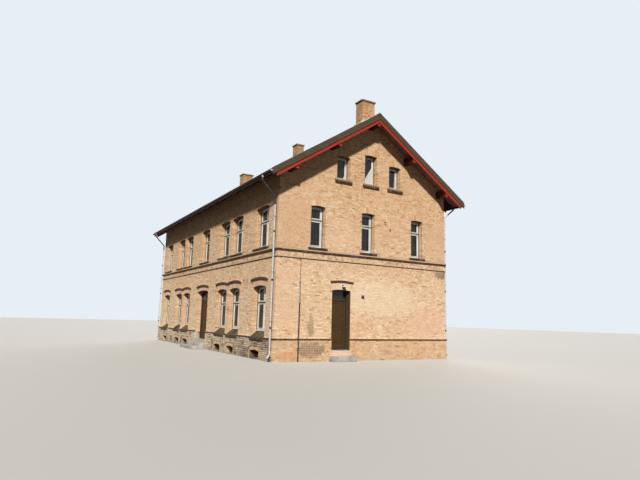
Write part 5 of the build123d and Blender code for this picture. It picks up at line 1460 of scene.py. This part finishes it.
# The gutters: half-round dark painted zinc in 3.2 m lengths, with a beaded front edge, on strap
# brackets screwed to the fascia, and pale end caps and outlet collars.
old_zinc, tree, shader = new_material("dark_gutter_paint", rough=0.6)
flake = place_group(tree, blotches, Size=0.09, Low=0.50, High=0.60, Detail=7.0)
colour = mixed(tree, flake.outputs["Mask"], (0.045, 0.034, 0.028), (0.13, 0.12, 0.11))
finish_with(tree, shader, colour, flake, 0.002)
pale_zinc, tree, shader = new_material("pale_pipe_paint", rough=0.5)
scuff = place_group(tree, blotches, Size=0.10, Low=0.50, High=0.72, Detail=6.0)
rust = place_group(tree, blotches, Size=0.05, Low=0.68, High=0.74, Detail=5.0)
colour = mixed(tree, scuff.outputs["Mask"], (0.56, 0.57, 0.58), (0.34, 0.34, 0.34))
colour = mixed(tree, rust.outputs["Mask"], colour, (0.25, 0.12, 0.06))
finish_with(tree, shader, colour, scuff, 0.001)
gutter_y, gutter_top, gutter_radius = 5.100, 7.236, 0.062

clear_selection()
bpy.ops.mesh.primitive_cylinder_add(vertices=32, radius=gutter_radius - 0.001, depth=2 * 9.668,
                                    end_fill_type="NOTHING", rotation=(0, math.pi / 2, 0))
trough = bpy.context.object
trough.name = "front_gutter"
bpy.ops.object.transform_apply(location=True, rotation=True, scale=True)
pick_faces(trough, lambda centre, normal: centre.z > 0.001)
bpy.ops.mesh.delete(type="FACE")
bpy.ops.object.mode_set(mode="OBJECT")
bpy.ops.object.modifier_add(type="SOLIDIFY")
trough.modifiers["Solidify"].thickness = 0.003
trough.modifiers["Solidify"].offset = -1
bpy.ops.object.modifier_apply(modifier="Solidify")
trough.location = (0, -gutter_y, gutter_top)
bpy.ops.object.transform_apply(location=True, rotation=True, scale=True)
trough.data.materials.append(old_zinc)


def turned_over(piece, name):
    """A copy of a piece of the front, turned half round to the back, with its own mesh."""
    made = piece.copy()
    made.data = piece.data.copy()
    made.name = name
    bpy.context.collection.objects.link(made)
    take(made)
    made.matrix_world = Matrix.Rotation(math.pi, 4, "Z")
    bpy.ops.object.transform_apply(location=True, rotation=True, scale=True)
    return made


back_trough = turned_over(trough, "back_gutter")
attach(trough, "building")
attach(back_trough, "building")
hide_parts("gutters")
beads, straps = [], []
bead_long = 3.2217
strap_angles = np.linspace(0.05, math.pi - 0.02, 7)
for way in (-1, 1):
    for i in range(6):
        x0, x1 = -9.665 + i * bead_long, -9.665 + (i + 1) * bead_long
        y = way * (gutter_y + gutter_radius - 0.007)
        beads.append([(x, y + dy, z) for x in (x0, x1) for dy in (-0.006, 0.006)
                      for z in (gutter_top - 0.010, gutter_top + 0.002)])
    for x in np.linspace(-9.4, 9.4, 22):
        for a, b in zip(strap_angles[:-1], strap_angles[1:]):
            straps.append([(xx, way * (gutter_y + math.cos(angle) * radius),
                            gutter_top - math.sin(angle) * radius)
                           for xx in (x - 0.014, x + 0.014) for angle in (a, b)
                           for radius in (gutter_radius, gutter_radius - 0.002)])
        straps.append([(xx, way * y, z) for xx in (x - 0.014, x + 0.014)
                       for y in (fascia_y + 0.0005, fascia_y + 0.0035) for z in (7.215, 7.255)])
lay("gutter_beads", roll, beads, old_zinc, edges=False, smooth=40)
lay("gutter_straps", beam, straps, old_zinc, edges=False)

clear_selection()
bpy.ops.mesh.primitive_cylinder_add(vertices=32, radius=gutter_radius - 0.0002, depth=0.010,
                                    end_fill_type="TRIFAN", rotation=(0, math.pi / 2, 0))
gutter_end = bpy.context.object
gutter_end.name = "gutter_end"
bpy.ops.object.transform_apply(location=True, rotation=True, scale=True)
pick_faces(gutter_end, lambda centre, normal: centre.z > 0.0005)
bpy.ops.mesh.delete(type="FACE")
bpy.ops.mesh.select_all(action="DESELECT")
bpy.ops.mesh.select_mode(type="EDGE")
bpy.ops.mesh.select_non_manifold()
bpy.ops.mesh.edge_face_add()
bpy.ops.mesh.select_all(action="SELECT")
bpy.ops.mesh.normals_make_consistent(inside=False)
bpy.ops.object.mode_set(mode="OBJECT")
ends = []
for x in (-9.664, 9.664):
    for way in (-1, 1):
        reach = gutter_radius - 0.0002
        ends.append([(xx, way * (gutter_y + dy), z) for xx in (x - 0.005, x + 0.005) for dy in (-reach, reach)
                     for z in (gutter_top - reach, gutter_top)])
lay("gutter_ends", gutter_end, ends, pale_zinc, edges=False)

# The downpipes: zinc pipe in 1.8 m lengths pushed into swaged sockets, with a swan neck from the
# outlet back to the wall and a shoe at the foot, held by rusty rings on spikes driven in the joints.
def tube(name, points, radius, material, sides=5):
    """A round pipe along points, with smooth bends, as a closed mesh."""
    line = bpy.data.curves.new(name, "CURVE")
    line.dimensions = "3D"
    spline = line.splines.new("NURBS")
    spline.points.add(len(points) - 1)
    for point, place in zip(spline.points, points):
        point.co = (*place, 1)
    spline.order_u = 3
    spline.use_endpoint_u = True
    line.resolution_u = 3
    line.bevel_depth = radius
    line.bevel_resolution = sides
    line.use_fill_caps = True
    piece = bpy.data.objects.new(name, line)
    bpy.context.collection.objects.link(piece)
    take(piece)
    bpy.ops.object.convert(target="MESH")
    bpy.ops.object.shade_smooth_by_angle(angle=math.radians(40))
    piece.data.materials.append(material)
    return piece


def turned(name, profile, place, along, material, sides=24):
    """A round piece made from a disc drawn out ring by ring: profile lists (radius, distance)."""
    clear_selection()
    bpy.ops.mesh.primitive_circle_add(vertices=sides, radius=profile[0][0], fill_type="NGON",
                                      location=(0, 0, profile[0][1]))
    piece = bpy.context.object
    piece.name = name
    bpy.ops.object.transform_apply(location=True, rotation=True, scale=True)
    bpy.ops.object.mode_set(mode="EDIT")
    bpy.ops.mesh.select_all(action="SELECT")
    for (r0, d0), (r1, d1) in zip(profile[:-1], profile[1:]):
        bpy.ops.mesh.extrude_region_move(TRANSFORM_OT_translate={"value": (0, 0, d1 - d0)})
        bpy.ops.transform.resize(value=(r1 / r0, r1 / r0, 1))
    bpy.ops.mesh.select_all(action="SELECT")
    bpy.ops.mesh.normals_make_consistent(inside=False)
    bpy.ops.object.mode_set(mode="OBJECT")
    aim = Vector(along).to_track_quat("Z", "Y").to_matrix().to_4x4()
    piece.matrix_world = Matrix.Translation(place) @ aim
    bpy.ops.object.transform_apply(location=True, rotation=True, scale=True)
    bpy.ops.object.shade_smooth_by_angle(angle=math.radians(35))
    piece.data.materials.append(material)
    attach(piece, "building")
    return piece


rusty_iron, tree, shader = new_material("rusty_iron", rough=0.85, metal=0.3)
scale_off = place_group(tree, blotches, Size=0.02, Low=0.40, High=0.60, Detail=6.0)
colour = mixed(tree, scale_off.outputs["Mask"], (0.19, 0.085, 0.045), (0.070, 0.045, 0.035))
finish_with(tree, shader, colour, scale_off, 0.002)

pipe_x, pipe_y, pipe_radius = 8.870, 4.515, 0.038
pipe_sockets = (5.05, 3.15, 1.32)
socket_profile = [(0.036, 0), (0.0395, 0.003), (0.0405, 0.012), (0.0395, 0.02), (0.0385, 0.075),
                  (0.036, 0.080)]
pipe_clips = (5.60, 3.40, 1.50)
for way, drop, fall in ((-1, 0.228, 0.600), (1, 0.098, 0.440)):
    for x in (-pipe_x, pipe_x):
        side_name = ("front" if way < 0 else "back") + ("_left" if x < 0 else "_right")
        top = gutter_top - gutter_radius + 0.004
        bend_top = gutter_top - gutter_radius / 2 - drop
        bend_low = bend_top - fall
        lean = Vector((0, pipe_y - gutter_y, -fall)).normalized()
        high_knee = Vector((x, gutter_y, bend_top))
        low_knee = Vector((x, pipe_y, bend_low))
        shoe_knee = Vector((x, pipe_y, 0.260))
        shoe_end = Vector((x, pipe_y + 0.120, 0.130))
        shoe_lean = (shoe_end - shoe_knee).normalized()
        neck = [Vector((x, gutter_y, top)), high_knee + Vector((0, 0, 0.05)), high_knee,
                high_knee + 0.06 * lean, low_knee - 0.06 * lean, low_knee,
                low_knee - Vector((0, 0, 0.06)), low_knee - Vector((0, 0, 0.30))]
        shaft = [low_knee - Vector((0, 0, 0.28)), Vector((x, pipe_y, 3.0)), shoe_knee + Vector((0, 0, 0.06)),
                 shoe_knee, shoe_knee + 0.06 * shoe_lean, shoe_end - 0.02 * shoe_lean]
        for label, route, paint in (("neck", neck, old_zinc if way < 0 else pale_zinc),
                                    ("pipe", shaft, pale_zinc)):
            points = [(p.x, way * p.y, p.z) for p in route]
            piece = tube(label + "_" + side_name, points, pipe_radius - 0.003, paint)
            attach(piece, "building")
        turned("outlet_" + side_name,
               [(0.030, 0), (0.046, 0.004), (0.046, 0.050), (0.040, 0.060), (0.040, 0.075)],
               (x, way * gutter_y, top + 0.002), (0, 0, -1), pale_zinc, sides=20)
        for number, z in enumerate((bend_low - 0.30,) + pipe_sockets):
            turned("socket_%s_%d" % (side_name, number + 1), socket_profile, (x, way * pipe_y, z), (0, 0, -1),
                   old_zinc if number else pale_zinc, sides=20)
        for number, z in enumerate(pipe_clips):
            turned("ring_%s_%d" % (side_name, number + 1),
                   [(0.036, 0), (0.0415, 0.002), (0.0415, 0.024), (0.036, 0.026)],
                   (x, way * pipe_y, z), (0, 0, 1), rusty_iron, sides=20)
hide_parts("downpipes")
spikes = []
for way in (-1, 1):
    for x in (-pipe_x, pipe_x):
        for z in pipe_clips:
            spikes.append([(xx, way * y, zz) for xx in (x - 0.005, x + 0.005) for y in (4.395, 4.480)
                           for zz in (z + 0.008, z + 0.018)])
lay("pipe_spikes", beam, spikes, rusty_iron, edges=False)

# The chimney heads: a thin weathered cement slab with a drip, open over the flue, and a skirt of
# mortar run up from the sheets round the foot of each stack.
slab_cement, tree, shader = new_material("chimney_cement", rough=0.95)
moss = place_group(tree, blotches, Size=0.10, Low=0.45, High=0.62, Detail=6.0)
grit = place_group(tree, blotches, Size=0.015, Low=0.35, High=0.65)
colour = mixed(tree, grit.outputs["Mask"], (0.30, 0.22, 0.15), (0.40, 0.30, 0.21))
colour = mixed(tree, moss.outputs["Mask"], colour, (0.15, 0.11, 0.075))
# Faces that look down, the slab's underside and drip, painted near black: painted shade.
colour = mixed(tree, faces_down(tree), colour, (0.045, 0.030, 0.022))
finish_with(tree, shader, colour, grit, 0.004)
skirt_mortar, tree, shader = new_material("skirt_mortar", rough=0.95)
crumble = place_group(tree, blotches, Size=0.12, Low=0.45, High=0.60, Detail=7.0)
colour = mixed(tree, crumble.outputs["Mask"], (0.62, 0.53, 0.42), (0.26, 0.20, 0.15))
finish_with(tree, shader, colour, crumble, 0.010)
flue_wall, cap_high, cap_edge = 0.115, 0.110, 0.045
chimney_heads, skirts = [], []
for number, (x, along, across, rise) in enumerate(chimneys):
    top = ridge_height + rise
    head = cube("chimney_head_%d" % (number + 1),
                (x - along / 2 - cap_edge, -across / 2 - cap_edge, top + 0.035),
                (x + along / 2 + cap_edge, across / 2 + cap_edge, top + cap_high))
    round_edges(head, 0.014, 2)
    pick_faces(head, lambda centre, normal: normal.z < -0.9)
    bpy.ops.mesh.inset(thickness=0.035)
    bpy.ops.mesh.extrude_region_move(TRANSFORM_OT_translate={"value": (0, 0, -0.034)})
    bpy.ops.object.mode_set(mode="OBJECT")
    hole = cube("flue_hole", (x - along / 2 + flue_wall, -across / 2 + flue_wall, top - 1),
                (x + along / 2 - flue_wall, across / 2 - flue_wall, top + 1))
    take(head)
    cut = head.modifiers.new("flue", "BOOLEAN")
    cut.object = hole
    cut.solver = "EXACT"
    bpy.ops.object.modifier_apply(modifier="flue")
    bpy.data.objects.remove(hole)
    head.data.materials.append(slab_cement)
    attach(head, "building")
    chimney_heads.append(head)
    for side in ("front", "back"):
        turn_over = 1 if side == "front" else -1
        middle = turn_over * x
        ends = (middle - along / 2 - 0.07, middle + along / 2 + 0.07)
        skirts += roof_boxes(side, [(*ends, -across / 2 - 0.12, -across / 2 + 0.004, -0.010, -0.095, 0.060)])
        for x_in, x_out in ((along / 2 - 0.004, along / 2 + 0.09), (-along / 2 + 0.004, -along / 2 - 0.09)):
            corners = []
            for at in sorted((x_in, x_out)):
                lift = 0.11 if abs(at) < along / 2 + 0.01 else 0.030
                for y in (-across / 2 - 0.10, -0.005):
                    for z_drop in (0.060, -lift):
                        level = ridge_height + y * roof_slope - z_drop
                        corners.append((turn_over * (middle + at), turn_over * y, level))
            skirts.append(corners)
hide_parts("chimney_caps")
lay("chimney_skirts", beam, skirts, skirt_mortar)

# The basement grilles: round iron bars let into the brick sides of each opening in the foot.
bars = []
for x in basement_places:
    for at in np.linspace(-0.36, 0.36, 7):
        top = 0.320 + 0.05 * (1 - (at / 0.455) ** 2)
        bars.append(bar(x + at - 0.007, x + at + 0.007, 0.042, top - 0.004, 0.100, 0.114))
for side in ("front", "back"):
    lay(side + "_basement_bars", beam, wall_boxes(side, bars), rusty_iron)

# The fittings of the gable: an enamelled lamp over the door on a cast bracket, a round alarm bell on
# its box, and a black steel conduit with a sleeve, a grey pipe above it and a thin cable.
enamel, tree, shader = new_material("white_enamel", rough=0.25)
chips = place_group(tree, blotches, Size=0.03, Low=0.62, High=0.66, Detail=6.0)
colour = mixed(tree, chips.outputs["Mask"], (0.80, 0.80, 0.78), (0.20, 0.14, 0.10))
finish_with(tree, shader, colour, chips, 0.001)
black_iron, tree, shader = new_material("black_cast_iron", rough=0.5)
dull = place_group(tree, blotches, Size=0.05, Low=0.45, High=0.65, Detail=6.0)
colour = mixed(tree, dull.outputs["Mask"], (0.018, 0.016, 0.015), (0.065, 0.052, 0.042))
finish_with(tree, shader, colour, dull, 0.001)
grey_steel, tree, shader = new_material("grey_steel", rough=0.45, metal=0.6)
dull = place_group(tree, blotches, Size=0.06, Low=0.45, High=0.70, Detail=6.0)
colour = mixed(tree, dull.outputs["Mask"], (0.34, 0.33, 0.32), (0.16, 0.13, 0.11))
finish_with(tree, shader, colour, dull, 0.001)
wall_x = long_half
lamp = (wall_x + 0.095, -1.31, 3.03)
lamp_rose = turned("lamp_rose", [(0.060, 0), (0.060, 0.010), (0.050, 0.018), (0.030, 0.024), (0.020, 0.030)],
                   (wall_x, lamp[1], lamp[2]), (1, 0, 0), black_iron)
arm = [(wall_x + 0.02, lamp[1], lamp[2]), (wall_x + 0.06, lamp[1], lamp[2] + 0.012),
       (lamp[0], lamp[1], lamp[2] + 0.020), (lamp[0], lamp[1], lamp[2] + 0.002)]
lamp_arm = tube("lamp_arm", arm, 0.010, black_iron)
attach(lamp_arm, "building")
turned("lamp_shade",
       [(0.086, -0.028), (0.088, -0.024), (0.084, -0.020), (0.066, -0.004), (0.040, 0.012), (0.026, 0.018),
        (0.022, 0.028)],
       lamp, (0, 0, 1), enamel, sides=32)
turned("lamp_globe",
       [(0.040, 0), (0.058, 0.004), (0.062, 0.020), (0.056, 0.045), (0.040, 0.062), (0.020, 0.069)],
       (lamp[0], lamp[1], lamp[2] - 0.029), (0, 0, -1), glass, sides=24)
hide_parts("door_lamp")
bell_box = cube("bell_box", (wall_x, -0.36, 2.60), (wall_x + 0.025, -0.28, 2.68))
round_edges(bell_box, 0.005, 2)
bell_box.data.materials.append(enamel)
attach(bell_box, "building")
turned("bell_dome",
       [(0.073, 0.0), (0.075, 0.003), (0.074, 0.010), (0.066, 0.026), (0.050, 0.038), (0.030, 0.043),
        (0.010, 0.045)],
       (wall_x + 0.025, -0.32, 2.64), (1, 0, 0), black_iron, sides=32)
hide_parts("wall_bell")
conduit_y, conduit_x = -3.38, wall_x + 0.090
conduit_low = turned("conduit_pipe", [(0.023, 0), (0.024, 0.003), (0.024, 2.27), (0.023, 2.275)],
                     (conduit_x, conduit_y, 0.0), (0, 0, 1), black_iron, sides=20)
turned("conduit_sleeve", [(0.024, 0), (0.034, 0.006), (0.034, 0.114), (0.024, 0.120)],
       (conduit_x, conduit_y, 2.27), (0, 0, 1), grey_steel, sides=20)
turned("conduit_grey_pipe", [(0.021, 0), (0.0225, 0.002), (0.0225, 0.775), (0.014, 0.785)],
       (conduit_x, conduit_y, 2.385), (0, 0, 1), grey_steel, sides=20)
cable_pieces = [(conduit_x, conduit_y, 3.165), (conduit_x, conduit_y, 3.6), (conduit_x, conduit_y, 4.030)]
cable = tube("thin_cable", cable_pieces, 0.006, black_iron, sides=3)
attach(cable, "building")
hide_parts("cable_conduit")
clips = []
for z, reach in ((3.05, 0.026), (1.165, 0.026), (4.005, 0.012)):
    clips.append([(xx, yy, zz) for xx in (wall_x, conduit_x)
                  for yy in (conduit_y - reach / 2, conduit_y + reach / 2) for zz in (z, z + 0.020)])
lay("conduit_clips", beam, clips, rusty_iron, edges=False)
for number, z in enumerate((1.165, 3.05)):
    turned("conduit_ring_%d" % (number + 1), [(0.023, 0), (0.0275, 0.002), (0.0275, 0.018), (0.023, 0.020)],
           (conduit_x, conduit_y, z), (0, 0, 1), rusty_iron, sides=20)

# The wall hooks: small wrought iron hooks on round roses, driven into joints of the front and gable,
# each with a short flat cramp under it.
hooks = (("front", 5.725, 3.263), ("front", 6.101, 3.257), ("right", 0.852, 5.983), ("right", 1.140, 5.690))
hook_profile = [(0.034, -0.004), (0.034, 0.004), (0.024, 0.009), (0.011, 0.012), (0.010, 0.038),
                (0.017, 0.042), (0.017, 0.050), (0.006, 0.054)]
for number, (side, u, z) in enumerate(hooks):
    at = wall_frames[side](u, -proud, z)
    out = Vector(wall_frames[side](u, -1.0, z)) - Vector(wall_frames[side](u, 0.0, z))
    turned("hook_%d" % (number + 1), hook_profile, at, out, black_iron, sides=20)
    cramp = bar(u - 0.055, u + 0.055, z - 0.095, z - 0.079, -0.020, 0.004)
    lay("hook_cramp_%d" % (number + 1), beam, wall_boxes(side, [cramp]), black_iron)

for leftover in (brick, stone, beam, sheet, field, moulding, step_block, roll, gutter_end):
    bpy.data.objects.remove(leftover)
